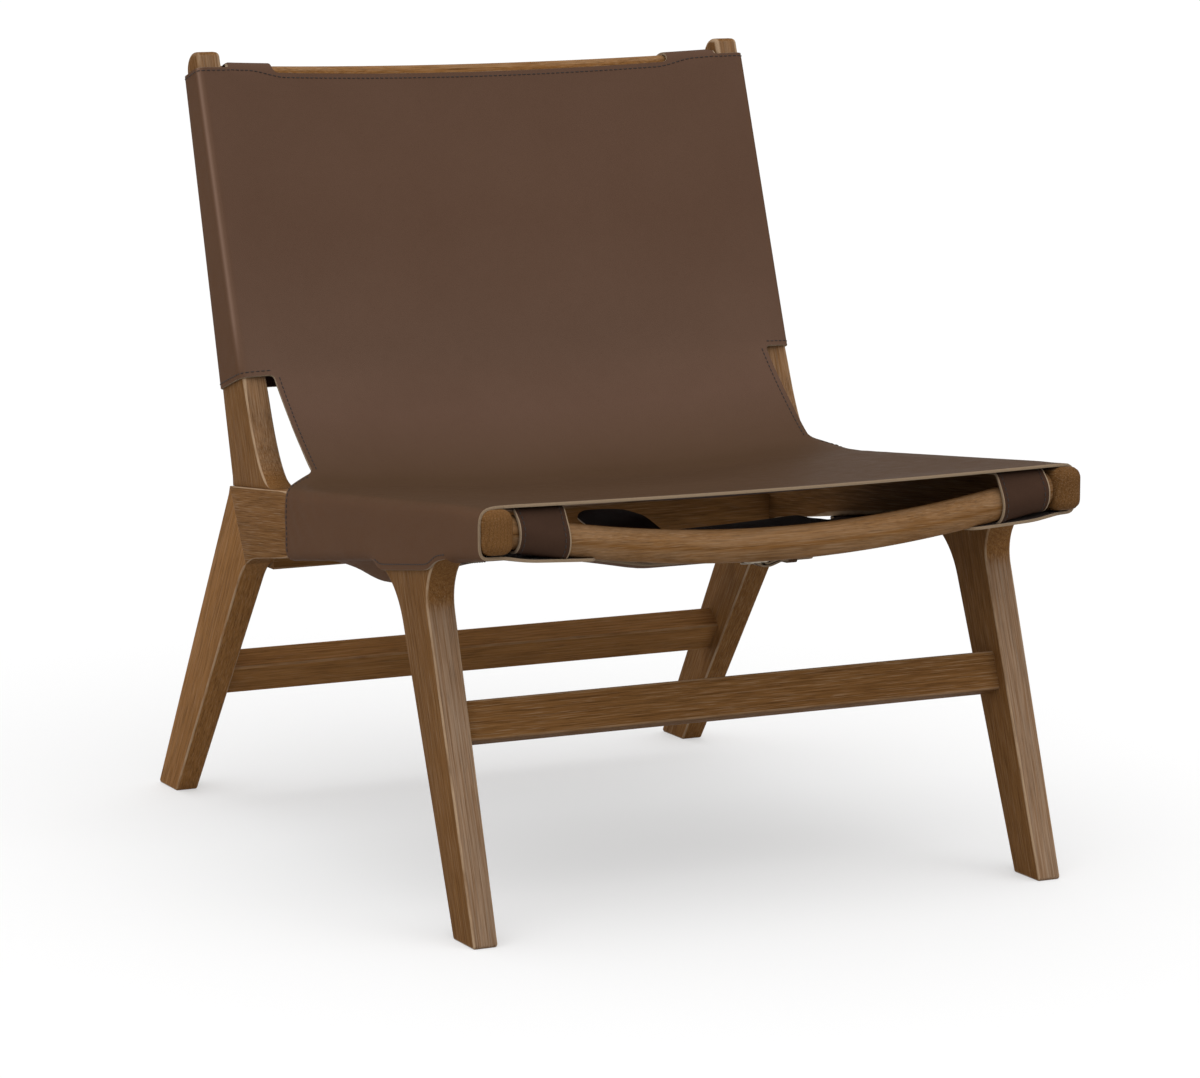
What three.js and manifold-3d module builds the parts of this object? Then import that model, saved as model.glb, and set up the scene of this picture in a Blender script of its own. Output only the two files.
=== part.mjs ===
// A low lounge chair: a bent wooden side frame on each side, joined by rails and stretchers,
// and one sheet of thick leather slung over the frame and drawn tight by buckled straps.
// Millimetres. The chair faces -Y, x runs across it and z is up from the floor.
import * as THREE from "three";
import { mergeVertices } from "three/addons/utils/BufferGeometryUtils.js";
import Module from "manifold-3d";

// Side frames
const WIDTH = 640; // over the outer faces of the two side frames
const MEMBER = 30; // thickness across the chair of rails, posts and leg tops
const FOOT_THICKNESS = 25; // thickness across the chair of the feet
const FOOT_BASE = 823; // from the front of the front feet to the back of the rear feet

// Side rails
const RAIL_CORNER_HEIGHT = 356; // height of the corner where rail, post and rear leg meet
const RAIL_CORNER_SETBACK = 222; // from that corner to the back of the rear feet
const RAIL_RUN = 632; // from that corner to the rail's front end, measured level
const RAIL_RISE = 62.4; // how much higher the rail's top is at its front end
const RAIL_DEPTH_FRONT = 42;
const RAIL_DEPTH_REAR = 74.5;
const RAIL_END_RADIUS = 8; // rounding of the rail's long edges at its front end
const RAIL_ARRIS = 1; // rounding of the rail's long edges elsewhere

// Legs
const FRONT_LEG_SETBACK = 150; // from the rail's front end to the leg's front edge, without its flare
const FRONT_LEG_TOP = 65; // width of the leg's top, without its flares
const FRONT_FOOT = 48; // length of the front foot on the floor
const FRONT_FLARE = 45; // radius of the flare ahead of the front leg
const REAR_FLARE = 80; // radius of the flare behind the front leg
const REAR_LEG_TOP = 38; // from the rail's corner to the rear leg's front edge at the rail's underside
const REAR_FOOT = 52; // length of the rear foot on the floor
const REAR_LEG_FLARE = 75; // radius of the flare between rear leg and rail

// Back posts
const POST_HEIGHT = 798; // of the post's top above the floor
const POST_THICKNESS = 26; // across the chair
const POST_INSET = 3.5; // from the side rail's outer face to the post's
const POST_FOOT = 71; // length of the post's foot on the rail, without its flare
const POST_TOP = 36; // length of the post's top, without its rounding
const POST_REAR_LEAN = 15.5; // degrees
const POST_FLARE_UP = 95; // height of the forward flare at the post's foot
const POST_FLARE_OUT = 35; // reach of that flare along the rail
const POST_REAR_RADIUS = 20; // rounding of the post's top at the back
const POST_FRONT_RADIUS = 6; // rounding of the post's top at the front

// Cross members
const BAR_DIAMETER = 32; // front seat rail
const BAR_SETBACK = 25; // from the side rail's front end to the front seat rail's centre
const BAR_DIP = 32; // how far the front seat rail bows down at its middle
const STRETCHER_HEIGHT = 39;
const STRETCHER_DEPTH = 28;
const FRONT_STRETCHER_LEVEL = 195; // height of its centre above the floor
const REAR_STRETCHER_LEVEL = 140; // height of its centre above the floor
const REAR_RAIL_HEIGHT = 43;
const REAR_RAIL_DEPTH = 22;
const REAR_RAIL_LEVEL = 294; // height of its centre above the floor
const TOP_RAIL_HEIGHT = 44;
const TOP_RAIL_DEPTH = 22;
const TOP_RAIL_DROP = 37; // from the posts' top to the rail's centre
const TOP_RAIL_BOW = 22; // how far the top rail bows back at its middle
const MEMBER_ARRIS = 2; // rounding of the cross members' edges
const TOP_RAIL_ARRIS = 7; // rounding of the top rail's edges

// Joints in the wood
const CLEARANCE = 0.3; // between pieces that touch
const TENON_THICKNESS = 10;
const TENON_WIDTH = 36;
const TENON_LENGTH = 40; // of a loose tenon, half in each piece
const POST_TENON_PLACE = 22; // from the front of the post's foot to its tenon's middle, along the rail
const SEAM_TENON_PLACE = 30; // from the low end of the rear leg's seam to its tenon's middle
const STUB_LENGTH = 16; // of a tenon on a cross member
const STUB_SHARE = 0.55; // a stub tenon's size as a share of its member's
const SHORT_STUB = 9; // of the tenons on the rear seat rail, which stop short of the loose tenons

// Leather sling
const LEATHER = 3; // thickness
const LEATHER_GAP = 0.4; // between leather and wood
const PANEL_INSET = 34; // from the side rails' outer faces to the panel's edges at the notches
const SLING_FRONT_SETBACK = 12; // from the side rail's front end to the sling's front edge
const SLING_BEND = 180; // radius of the bend between seat and back
const SEAT_SAG = 12;
const FRONT_SAG = 3;
const TOP_EDGE_DROP = 14; // from the posts' top to the sling's top edge, on the post's front
const TOP_EDGE_SAG = 14; // how much lower the top edge is at its middle
const NOTCH_LOW = 30; // height of the notch's low corner above the side rail's corner
const NOTCH_TOP = 116; // height of the notch's top corner above the side rail's corner
const NOTCH_LIFT = 6; // how far the notch's top corner stands ahead of the back
const NOTCH_BOW = 0.5; // how much of the sling's bend the notch's free edge follows
const WING_SETBACK = 17; // how far the seat wing's rear edge lies ahead of the notch's low corner
const APRON = 9; // how far the seat wing hangs over the front leg's top
const FLAP_GAP = 56; // between the inner edges of the left and right flaps
const FLAP_LEVEL = 220; // width of the level middle of the flaps under the seat
const FLAP_EDGE = 8; // from the side rails' inner faces to the flaps' outer notch
const FLAP_SHOULDER = 82; // width of the flaps' front ends, beyond that notch
// How far the flaps under the seat lie below the rails, at their notch, shoulder, middle and inner edge
const FLAP_DROPS_FRONT = [8, 13, 36, 36]; // at the front edge
const FLAP_DROPS_STRAPS = [[5, 12, 20, 20], [30, 10, 0, 0]]; // at the front and rear straps
const FLAP_DROPS_REAR = [4, 0, -20, -20]; // at the rear edge
const BACK_FLAP_DROP = 86; // from the posts' top to the back flaps' top edge
const TAB_WIDTH = 52;
const TAB_SIDE_GAP = 6; // from the side rails' inner faces to the front tabs
const TAB_THICKNESS = 2.5;
const TAB_TAIL = 30; // length of the front tabs' tails behind the front seat rail
const TAB_GAP = 0.6; // between the front tabs and the front seat rail

// Straps
const STRAP_WIDTH = 25;
const STRAP_THICKNESS = 2;
const STRAP_OFFSET = 30; // from the chair's middle to the middle of each buckle
const TONGUE_START = -126; // ends of the tongue, from the middle of the buckle
const TONGUE_END = 64;
const BUCKLE_STRAP_END = 74; // far end of the strap that holds the buckle
const SEAT_STRAPS = [143, 308]; // distances of the seat straps behind the rail's front end
const BACK_STRAPS = [268, 138]; // distances of the back straps below the posts' top
const BUCKLE_LENGTH = 25;
const BUCKLE_WIRE = 3;
const BUCKLE_OPENING = 28; // between the buckle's side bars
const PRONG_WIDTH = 2.6;
const PRONG_EYE = 3.7; // outer radius of the prong's eye
const KEEPER_WIDTH = 10;
const KEEPER_PLACE = 38; // from the middle of the buckle to the middle of the keeper

const WOOD = { color: 0x7a5a3c, roughness: 0.55, metalness: 0 };
const HIDE = { color: 0x4d362a, roughness: 0.6, metalness: 0 };
const METAL = { color: 0x6f6a62, roughness: 0.35, metalness: 1 };

const wasm = await Module();
wasm.setup();

const { lerp, degToRad } = THREE.MathUtils;
const X_AXIS = new THREE.Vector3(1, 0, 0);
const Y_AXIS = new THREE.Vector3(0, 1, 0);
const Z_AXIS = new THREE.Vector3(0, 0, 1);
const at = (y, z) => new THREE.Vector2(y, z); // a point in the side view
const inSpace = (x, p) => new THREE.Vector3(x, p.x, p.y); // a side view point, at x across the chair
const CORNER_STEPS = 3; // straight steps in each rounded corner of a ring
const ARC_STEPS = 8; // straight steps in each round stretch of an outline

// Solids

function solidOf(geometry) {
  const bare = new THREE.BufferGeometry();
  bare.setAttribute("position", geometry.getAttribute("position"));
  bare.setIndex(geometry.index);
  const merged = mergeVertices(bare, 1e-4);
  const triVerts = new Uint32Array(merged.index.array);
  return new wasm.Manifold(
    new wasm.Mesh({ numProp: 3, vertProperties: merged.attributes.position.array, triVerts }),
  );
}

function geometryOf(solid) {
  const mesh = solid.getMesh();
  const geometry = new THREE.BufferGeometry();
  geometry.setAttribute("position", new THREE.BufferAttribute(mesh.vertProperties, 3));
  geometry.setIndex(new THREE.BufferAttribute(mesh.triVerts, 1));
  geometry.computeVertexNormals();
  return geometry;
}

function cut(geometry, ...tools) {
  return geometryOf(tools.reduce((solid, tool) => solid.subtract(solidOf(tool)), solidOf(geometry)));
}

function join(...geometries) {
  return geometryOf(geometries.map(solidOf).reduce((whole, piece) => whole.add(piece)));
}

// A side view outline, extruded across the chair
function slab(outline, from, to) {
  const shape = new THREE.Shape(outline);
  const geometry = new THREE.ExtrudeGeometry(shape, { depth: to - from, bevelEnabled: false });
  const turn = new THREE.Matrix4().makeBasis(Y_AXIS, Z_AXIS, X_AXIS);
  return geometry.applyMatrix4(turn).translate(from, 0, 0);
}

// A ring of points round a rectangle with rounded corners, spanned by the unit vectors u and v
function roundedRing(centre, u, v, width, height, radius) {
  const ring = [];
  for (let corner = 0; corner < 4; corner += 1) {
    const side = corner === 0 || corner === 3 ? 1 : -1;
    const level = corner < 2 ? 1 : -1;
    for (let step = 0; step <= CORNER_STEPS; step += 1) {
      const angle = ((corner + step / CORNER_STEPS) * Math.PI) / 2;
      const along = side * (width / 2 - radius) + radius * Math.cos(angle);
      const up = level * (height / 2 - radius) + radius * Math.sin(angle);
      ring.push(centre.clone().addScaledVector(u, along).addScaledVector(v, up));
    }
  }
  return ring;
}

// A closed solid through rings with the same number of points, each of them convex
function loft(rings) {
  const count = rings[0].length;
  const last = (rings.length - 1) * count;
  const index = [];
  for (let start = 0; start < last; start += count) {
    for (let i = 0; i < count; i += 1) {
      const a = start + i;
      const b = start + ((i + 1) % count);
      index.push(a, b, b + count, a, b + count, a + count);
    }
  }
  for (let i = 2; i < count; i += 1) {
    index.push(0, i, i - 1, last, last + i - 1, last + i);
  }
  const geometry = new THREE.BufferGeometry().setFromPoints(rings.flat());
  return geometry.setIndex(index);
}

// A member across the chair through stations of x, centre, depth, height, radius and lean
function beam(stations) {
  return loft(
    stations.map(({ x, centre, depth, height, radius, lean = 0 }) => {
      const u = Y_AXIS.clone().applyAxisAngle(X_AXIS, lean);
      const v = Z_AXIS.clone().applyAxisAngle(X_AXIS, lean);
      return roundedRing(inSpace(x, centre), u, v, depth, height, radius);
    }),
  );
}

// A stub tenon at each end of a member whose end stations are given
function stubStations(end, length, grow = 0) {
  const depth = end.depth * STUB_SHARE + 2 * grow;
  const height = end.height * STUB_SHARE + 2 * grow;
  const stub = { ...end, depth, height, radius: Math.min(end.radius, depth / 3) };
  return [stub, { ...stub, x: end.x + Math.sign(end.x) * length }];
}

function tenonedBeam(stations, length) {
  const left = stubStations(stations[0], length).reverse();
  const right = stubStations(stations.at(-1), length);
  return beam([...left, ...stations, ...right]);
}

// The hollow for the stub tenon at a member's right-hand end
function mortise(end, length) {
  const [inner, outer] = stubStations(end, length + 2 * CLEARANCE, CLEARANCE);
  return beam([{ ...inner, x: inner.x - MEMBER / 2 }, outer]);
}

// A sheet of even thickness on a grid of points, over the cells that are kept
function sheet(grid, thickness, keep = () => true) {
  const inGrid = (i, j) => i >= 0 && j >= 0 && i < grid.length - 1 && j < grid[0].length - 1;
  const kept = (i, j) => inGrid(i, j) && keep(i, j);
  const corners = new Map();
  const cells = [];
  const cornerAt = (i, j) => {
    const key = `${i} ${j}`;
    const fresh = { point: grid[i][j], normal: new THREE.Vector3(), id: 2 * corners.size };
    if (!corners.has(key)) corners.set(key, fresh);
    return corners.get(key);
  };
  for (let i = 0; i < grid.length - 1; i += 1) {
    for (let j = 0; j < grid[0].length - 1; j += 1) {
      if (!kept(i, j)) continue;
      const ring = [cornerAt(i, j), cornerAt(i, j + 1), cornerAt(i + 1, j + 1), cornerAt(i + 1, j)];
      const across = ring[2].point.clone().sub(ring[0].point);
      const normal = across.cross(ring[3].point.clone().sub(ring[1].point)).normalize();
      ring.forEach((corner) => corner.normal.add(normal));
      const open = [!kept(i - 1, j), !kept(i, j + 1), !kept(i + 1, j), !kept(i, j - 1)];
      cells.push({ ring, open, mirrored: j < (grid[0].length - 1) / 2 });
    }
  }
  const points = [...corners.values()].flatMap(({ point, normal }) => {
    const off = normal.normalize().multiplyScalar(thickness / 2);
    return [point.clone().add(off), point.clone().sub(off)];
  });
  const index = cells.flatMap(({ ring, open, mirrored }) => {
    const [a, b, c, d] = ring.map((corner) => corner.id);
    const faces = mirrored
      ? [a, b, d, b, c, d, a + 1, d + 1, b + 1, b + 1, d + 1, c + 1]
      : [a, b, c, a, c, d, a + 1, c + 1, b + 1, a + 1, d + 1, c + 1];
    open.forEach((isOpen, side) => {
      if (!isOpen) return;
      const from = ring[side].id;
      const to = ring[(side + 1) % 4].id;
      faces.push(to, from, from + 1, to, from + 1, to + 1);
    });
    return faces;
  });
  return new THREE.BufferGeometry().setFromPoints(points).setIndex(index);
}

// Outlines

// The arc that rounds a corner, from the side of one neighbour to the side of the other
function filletArc(before, corner, after, radius) {
  const toBefore = before.clone().sub(corner).normalize();
  const toAfter = after.clone().sub(corner).normalize();
  const halfAngle = Math.acos(toBefore.dot(toAfter)) / 2;
  const reach = radius / Math.tan(halfAngle);
  const inward = toBefore.clone().add(toAfter).normalize();
  const centre = corner.clone().addScaledVector(inward, radius / Math.sin(halfAngle));
  const start = corner.clone().addScaledVector(toBefore, reach).sub(centre);
  const end = corner.clone().addScaledVector(toAfter, reach).sub(centre);
  const turn = Math.atan2(start.cross(end), start.dot(end));
  const arc = [];
  for (let step = 0; step <= ARC_STEPS; step += 1) {
    arc.push(start.clone().rotateAround(at(0, 0), (turn * step) / ARC_STEPS).add(centre));
  }
  return arc;
}

// The point where the line a to b meets the line c to d
function crossing(a, b, c, d) {
  const ab = b.clone().sub(a);
  const cd = d.clone().sub(c);
  const along = c.clone().sub(a).cross(cd) / ab.cross(cd);
  return a.clone().addScaledVector(ab, along);
}

const lineAngle = (a, b) => Math.atan2(b.y - a.y, b.x - a.x);
const stepAlong = (a, b, distance) => a.clone().addScaledVector(b.clone().sub(a).normalize(), distance);

// The side frame's lines. Everything else takes its place from these.
const half = WIDTH / 2;
const innerFace = half - MEMBER;
const footFront = -FOOT_BASE / 2;
const footRear = FOOT_BASE / 2;
const railCorner = at(footRear - RAIL_CORNER_SETBACK, RAIL_CORNER_HEIGHT);
const railFront = railCorner.x - RAIL_RUN;
const railTopAt = (y) => RAIL_CORNER_HEIGHT + ((railCorner.x - y) * RAIL_RISE) / RAIL_RUN;
const railTop = (y) => at(y, railTopAt(y));
const underFront = at(railFront, railTopAt(railFront) - RAIL_DEPTH_FRONT);
const underRearY = railCorner.x - REAR_LEG_TOP;
const underRear = at(underRearY, railTopAt(underRearY) - RAIL_DEPTH_REAR);
const railUnderAt = (y) => lerp(underFront.y, underRear.y, (y - railFront) / (underRearY - railFront));
const railUnder = (y) => at(y, railUnderAt(y));
const railTopAngle = lineAngle(railTop(0), railTop(1));
const railUnderAngle = lineAngle(underFront, underRear);

const frontLegFrontTop = railUnder(railFront + FRONT_LEG_SETBACK);
const frontLegRearTop = railUnder(frontLegFrontTop.x + FRONT_LEG_TOP);
const frontFootFront = at(footFront, 0);
const frontFootRear = at(footFront + FRONT_FOOT, 0);
const rearFootFront = at(footRear - REAR_FOOT, 0);
const rearFootRear = at(footRear, 0);
const rearLegArc = filletArc(rearFootFront, underRear, underFront, REAR_LEG_FLARE);
const seamLow = rearLegArc[ARC_STEPS / 2];
const seamAngle = lineAngle(seamLow, railCorner);

const postFrontFoot = railTop(railCorner.x - POST_FOOT);
const postRearLean = degToRad(POST_REAR_LEAN);
const postRearAt = (z) => railCorner.x + (z - railCorner.y) * Math.tan(postRearLean);
const postFrontTop = at(postRearAt(POST_HEIGHT) - POST_TOP, POST_HEIGHT);
const postFrontLean = Math.PI / 2 - lineAngle(postFrontFoot, postFrontTop);
const postFrontAt = (z) => postFrontFoot.x + (z - postFrontFoot.y) * Math.tan(postFrontLean);
const postLean = (postFrontLean + postRearLean) / 2;
const postOuter = half - POST_INSET;
const postInner = postOuter - POST_THICKNESS;

const thicknessAt = (z) => lerp(FOOT_THICKNESS, MEMBER, z / RAIL_CORNER_HEIGHT);

// Loose tenons, each in the middle of a side frame's thickness

const tenonJoints = {
  front_leg: { place: frontLegFrontTop.clone().lerp(frontLegRearTop, 0.5), lean: railUnderAngle },
  rear_leg: { place: stepAlong(seamLow, railCorner, SEAM_TENON_PLACE), lean: seamAngle },
  post: { place: stepAlong(postFrontFoot, railCorner, POST_TENON_PLACE), lean: railTopAngle },
};

function looseTenon({ place, lean }, grow = 0) {
  const sides = [TENON_THICKNESS, TENON_WIDTH, TENON_LENGTH].map((side) => side + 2 * grow);
  const box = new THREE.BoxGeometry(...sides);
  return box.rotateX(lean).translate(half - MEMBER / 2, place.x, place.y);
}

const tenonHollow = (name) => looseTenon(tenonJoints[name], CLEARANCE);

// Cross members

function straightMember(x, centre, depth, height, lean) {
  const end = { centre, depth, height, radius: MEMBER_ARRIS, lean };
  return [
    { ...end, x: -x },
    { ...end, x },
  ];
}

const endFace = (z) => half - thicknessAt(z) - 2 * CLEARANCE;
const legMiddle = (front, rear, footA, footB, level) => {
  const low = footA.clone().lerp(footB, 0.5);
  const high = front.clone().lerp(rear, 0.5);
  return low.lerp(high, level / high.y);
};

const frontStretcherCentre = legMiddle(
  frontLegFrontTop, frontLegRearTop, frontFootFront, frontFootRear, FRONT_STRETCHER_LEVEL,
);
const frontStretcherLean = lineAngle(frontFootRear, frontLegRearTop) - Math.PI / 2;
const frontStretcher = straightMember(
  endFace(FRONT_STRETCHER_LEVEL),
  frontStretcherCentre,
  STRETCHER_DEPTH,
  STRETCHER_HEIGHT,
  frontStretcherLean,
);

const rearStretcherCentre = legMiddle(
  underRear, railCorner, rearFootFront, rearFootRear, REAR_STRETCHER_LEVEL,
);
const rearStretcherLean = lineAngle(rearFootFront, underRear) - Math.PI / 2;
const rearStretcher = straightMember(
  endFace(REAR_STRETCHER_LEVEL),
  rearStretcherCentre,
  STRETCHER_DEPTH,
  STRETCHER_HEIGHT,
  rearStretcherLean,
);

const seamShare = (REAR_RAIL_LEVEL - seamLow.y) / (railCorner.y - seamLow.y);
const seamY = lerp(seamLow.x, railCorner.x, seamShare);
const rearRail = straightMember(
  innerFace - CLEARANCE, at(seamY, REAR_RAIL_LEVEL), REAR_RAIL_DEPTH, REAR_RAIL_HEIGHT, 0,
);

const barY = railFront + BAR_SETBACK;
const barEndZ = (railTopAt(barY) + railUnderAt(barY)) / 2;
const barCentre = (x) => at(barY, barEndZ - BAR_DIP * (1 - (x / innerFace) ** 2));
const BAR_STATIONS = 12;
const frontBar = Array.from({ length: BAR_STATIONS + 1 }, (_, i) => {
  const x = lerp(-1, 1, i / BAR_STATIONS) * (innerFace - CLEARANCE);
  const radius = BAR_DIAMETER / 2 - CLEARANCE;
  return { x, centre: barCentre(x), depth: BAR_DIAMETER, height: BAR_DIAMETER, radius };
});

const topRailZ = POST_HEIGHT - TOP_RAIL_DROP;
const topRailEnd = at((postFrontAt(topRailZ) + postRearAt(topRailZ)) / 2, topRailZ);
const backUp = at(Math.sin(postLean), Math.cos(postLean)); // up along the posts
const backOut = at(Math.cos(postLean), -Math.sin(postLean)); // square to the posts, to the rear
const topRailBow = (x) => TOP_RAIL_BOW * (1 - (x / postInner) ** 2);
const topRailCentre = (x) => topRailEnd.clone().addScaledVector(backOut, topRailBow(x));
const topRail = Array.from({ length: BAR_STATIONS + 1 }, (_, i) => {
  const x = lerp(-1, 1, i / BAR_STATIONS) * (postInner - CLEARANCE);
  const section = { depth: TOP_RAIL_DEPTH, height: TOP_RAIL_HEIGHT, radius: TOP_RAIL_ARRIS };
  return { x, centre: topRailCentre(x), ...section, lean: -postLean };
});

// Side frame pieces, made for the right-hand side

function sideRail() {
  const rearArc = rearLegArc.slice(ARC_STEPS / 2);
  const sections = rearArc.map((bottom, i) => {
    const top = railTop(lerp(railCorner.x, bottom.x, i / (rearArc.length - 1)));
    return { top, bottom, radius: RAIL_ARRIS, inset: 0 };
  });
  const level = (setback, radius, inset) => {
    const y = railFront + setback;
    sections.push({ top: railTop(y), bottom: railUnder(y), radius, inset });
  };
  level(6 * RAIL_END_RADIUS, RAIL_ARRIS, 0);
  level(3 * RAIL_END_RADIUS, RAIL_END_RADIUS, 0);
  level(RAIL_END_RADIUS, RAIL_END_RADIUS, 0);
  level(RAIL_END_RADIUS * 0.3, RAIL_END_RADIUS, RAIL_END_RADIUS * 0.3);
  level(0, RAIL_END_RADIUS * 0.5, RAIL_END_RADIUS);
  const rings = sections.map(({ top, bottom, radius, inset }) => {
    const up = inSpace(0, top.clone().sub(bottom)).normalize();
    const centre = inSpace(half - MEMBER / 2, top.clone().lerp(bottom, 0.5));
    const height = top.distanceTo(bottom) - 2 * inset;
    return roundedRing(centre, X_AXIS, up, MEMBER - 2 * inset, height, radius);
  });
  return cut(
    loft(rings),
    tenonHollow("front_leg"),
    tenonHollow("rear_leg"),
    tenonHollow("post"),
    mortise(frontBar.at(-1), STUB_LENGTH),
    mortise(rearRail[1], SHORT_STUB),
  );
}

// Thins a leg towards the floor, on its inner face
function taperLeg(geometry) {
  const position = geometry.getAttribute("position");
  for (let i = 0; i < position.count; i += 1) {
    if (position.getX(i) < half - MEMBER / 2) position.setX(i, half - thicknessAt(position.getZ(i)));
  }
  return geometry;
}

// Ends a flare in a thin lip under the rail
function lipped(arc) {
  const tip = arc.at(-2);
  return [...arc.slice(0, -1), at(tip.x, railUnderAt(tip.x) - CLEARANCE)];
}

const frontLegFlares = {
  rear: lipped(filletArc(frontFootRear, frontLegRearTop, underRear, REAR_FLARE)),
  front: lipped(filletArc(frontFootFront, frontLegFrontTop, underFront, FRONT_FLARE)),
};

function frontLeg() {
  const { front, rear } = frontLegFlares;
  const outline = [frontFootRear, ...rear, ...front.toReversed(), frontFootFront];
  const leg = taperLeg(slab(outline, innerFace, half));
  return cut(leg, tenonHollow("front_leg"), mortise(frontStretcher[1], STUB_LENGTH));
}

function rearLeg() {
  const off = at(Math.sin(seamAngle), -Math.cos(seamAngle)).multiplyScalar(CLEARANCE);
  const flare = rearLegArc.slice(0, ARC_STEPS / 2);
  const seam = [railCorner.clone().add(off), seamLow.clone().add(off)];
  const outline = [rearFootRear, ...seam, ...flare.reverse(), rearFootFront];
  const leg = taperLeg(slab(outline, innerFace, half));
  return cut(
    leg,
    tenonHollow("rear_leg"),
    mortise(rearStretcher[1], STUB_LENGTH),
    mortise(rearRail[1], SHORT_STUB),
  );
}

function backPost() {
  const lift = at(0, CLEARANCE);
  const rearTop = at(postRearAt(POST_HEIGHT), POST_HEIGHT);
  const flareEnd = railTop(postFrontFoot.x - POST_FLARE_OUT);
  const flareTop = at(postFrontAt(postFrontFoot.y + POST_FLARE_UP), postFrontFoot.y + POST_FLARE_UP);
  const lip = flareEnd.clone().add(at(0, 4 * CLEARANCE));
  const flare = new THREE.QuadraticBezierCurve(lip, postFrontFoot, flareTop).getPoints(ARC_STEPS);
  const outline = [
    railCorner.clone().add(lift),
    flareEnd.add(lift),
    ...flare.map((point) => point.add(lift)),
    ...filletArc(flareTop, postFrontTop, rearTop, POST_FRONT_RADIUS),
    ...filletArc(postFrontTop, rearTop, railCorner, POST_REAR_RADIUS),
  ];
  const post = slab(outline, postInner, postOuter);
  return cut(post, tenonHollow("post"), mortise(topRail.at(-1), STUB_LENGTH));
}

// The sling

const leatherOff = LEATHER_GAP + LEATHER / 2; // from the wood to the middle of the leather
const panelHalf = half - PANEL_INSET;
const seatWingX = half + leatherOff;
const backWingX = postOuter + leatherOff;
const tabOuter = innerFace - TAB_SIDE_GAP;
const tabInner = tabOuter - TAB_WIDTH;
const slingFront = railFront + SLING_FRONT_SETBACK;
const seatMid = (y) => at(y, railTopAt(y) + leatherOff);
const backFrontOff = at(-Math.cos(postFrontLean), Math.sin(postFrontLean));
const backRearOff = at(Math.cos(postRearLean), -Math.sin(postRearLean));
const backMid = (z) => at(postFrontAt(z), z).addScaledVector(backFrontOff, leatherOff);
const backTop = POST_HEIGHT - TOP_EDGE_DROP;
const topRailFront = topRailCentre(0).addScaledVector(backOut, -TOP_RAIL_DEPTH / 2 - LEATHER);
const backSag = topRailFront.sub(backMid(topRailZ)).dot(backOut); // the top edge follows the top rail
const slingCorner = crossing(seatMid(slingFront), seatMid(0), backMid(backTop), backMid(railCorner.y));
const slingBend = filletArc(seatMid(slingFront), slingCorner, backMid(backTop), SLING_BEND);

// The point of the bend at a height above the side rail's corner
function bendAt(height) {
  const z = railCorner.y + height;
  const after = Math.max(1, slingBend.findIndex((point) => point.y > z));
  const [low, high] = [slingBend[after - 1], slingBend[after]];
  return low.clone().lerp(high, (z - low.y) / (high.y - low.y));
}

// The point of the post's rear face that lies square behind a point of its front face
function behind(front) {
  const away = front.clone().add(backOut);
  const rear = crossing(front, away, at(postRearAt(0), 0), at(postRearAt(POST_HEIGHT), POST_HEIGHT));
  return rear.addScaledVector(backRearOff, leatherOff);
}

const notchLow = bendAt(NOTCH_LOW);
const notchTop = bendAt(NOTCH_TOP).addScaledVector(backFrontOff, NOTCH_LIFT);
const seatRear = notchLow.x - WING_SETBACK;
const seatStrapY = SEAT_STRAPS.map((setback) => railFront + setback);
const flapEdge = innerFace - FLAP_EDGE;
const flapColumns = [flapEdge, flapEdge - FLAP_SHOULDER, FLAP_LEVEL / 2, FLAP_GAP / 2];
const flapStations = [slingFront, ...seatStrapY, seatRear];
const flapDrops = [FLAP_DROPS_FRONT, ...FLAP_DROPS_STRAPS, FLAP_DROPS_REAR];

// The middle of a flap under the seat, at one of its columns
function flapMid(y, column) {
  const after = Math.max(1, flapStations.findLastIndex((station) => station <= y) + 1);
  const to = Math.min(after, flapStations.length - 1);
  const from = to - 1;
  const share = (y - flapStations[from]) / (flapStations[to] - flapStations[from]);
  const drop = lerp(flapDrops[from][column], flapDrops[to][column], share);
  return at(y, railUnderAt(y) - leatherOff - drop);
}

const notchFront = frontLegFlares.front.at(-1).x - 2 * LEATHER; // the flap is notched round the front leg
const notchRear = frontLegFlares.rear.at(-1).x + 2 * LEATHER;
const tabRear = barY + TAB_TAIL; // where the front tabs end under the seat
const sagShare = (x) => 1 - (x / panelHalf) ** 2; // of the sag at the panel's middle

// The rows of the free edge between the notch's corners, which the pull of the leather straightens
function notchRows() {
  const along = notchTop.clone().sub(notchLow).normalize();
  const down = at(along.y, -along.x);
  const between = slingBend.filter((p) => p.y > notchLow.y + LEATHER && p.y < notchTop.y - LEATHER);
  return between.map((point) => {
    const chord = notchLow.clone().lerp(notchTop, (point.y - notchLow.y) / (notchTop.y - notchLow.y));
    const mid = chord.lerp(point, NOTCH_BOW);
    return { mid, wing: "none", sag: SEAT_SAG + point.clone().sub(mid).dot(down) };
  });
}

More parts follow.
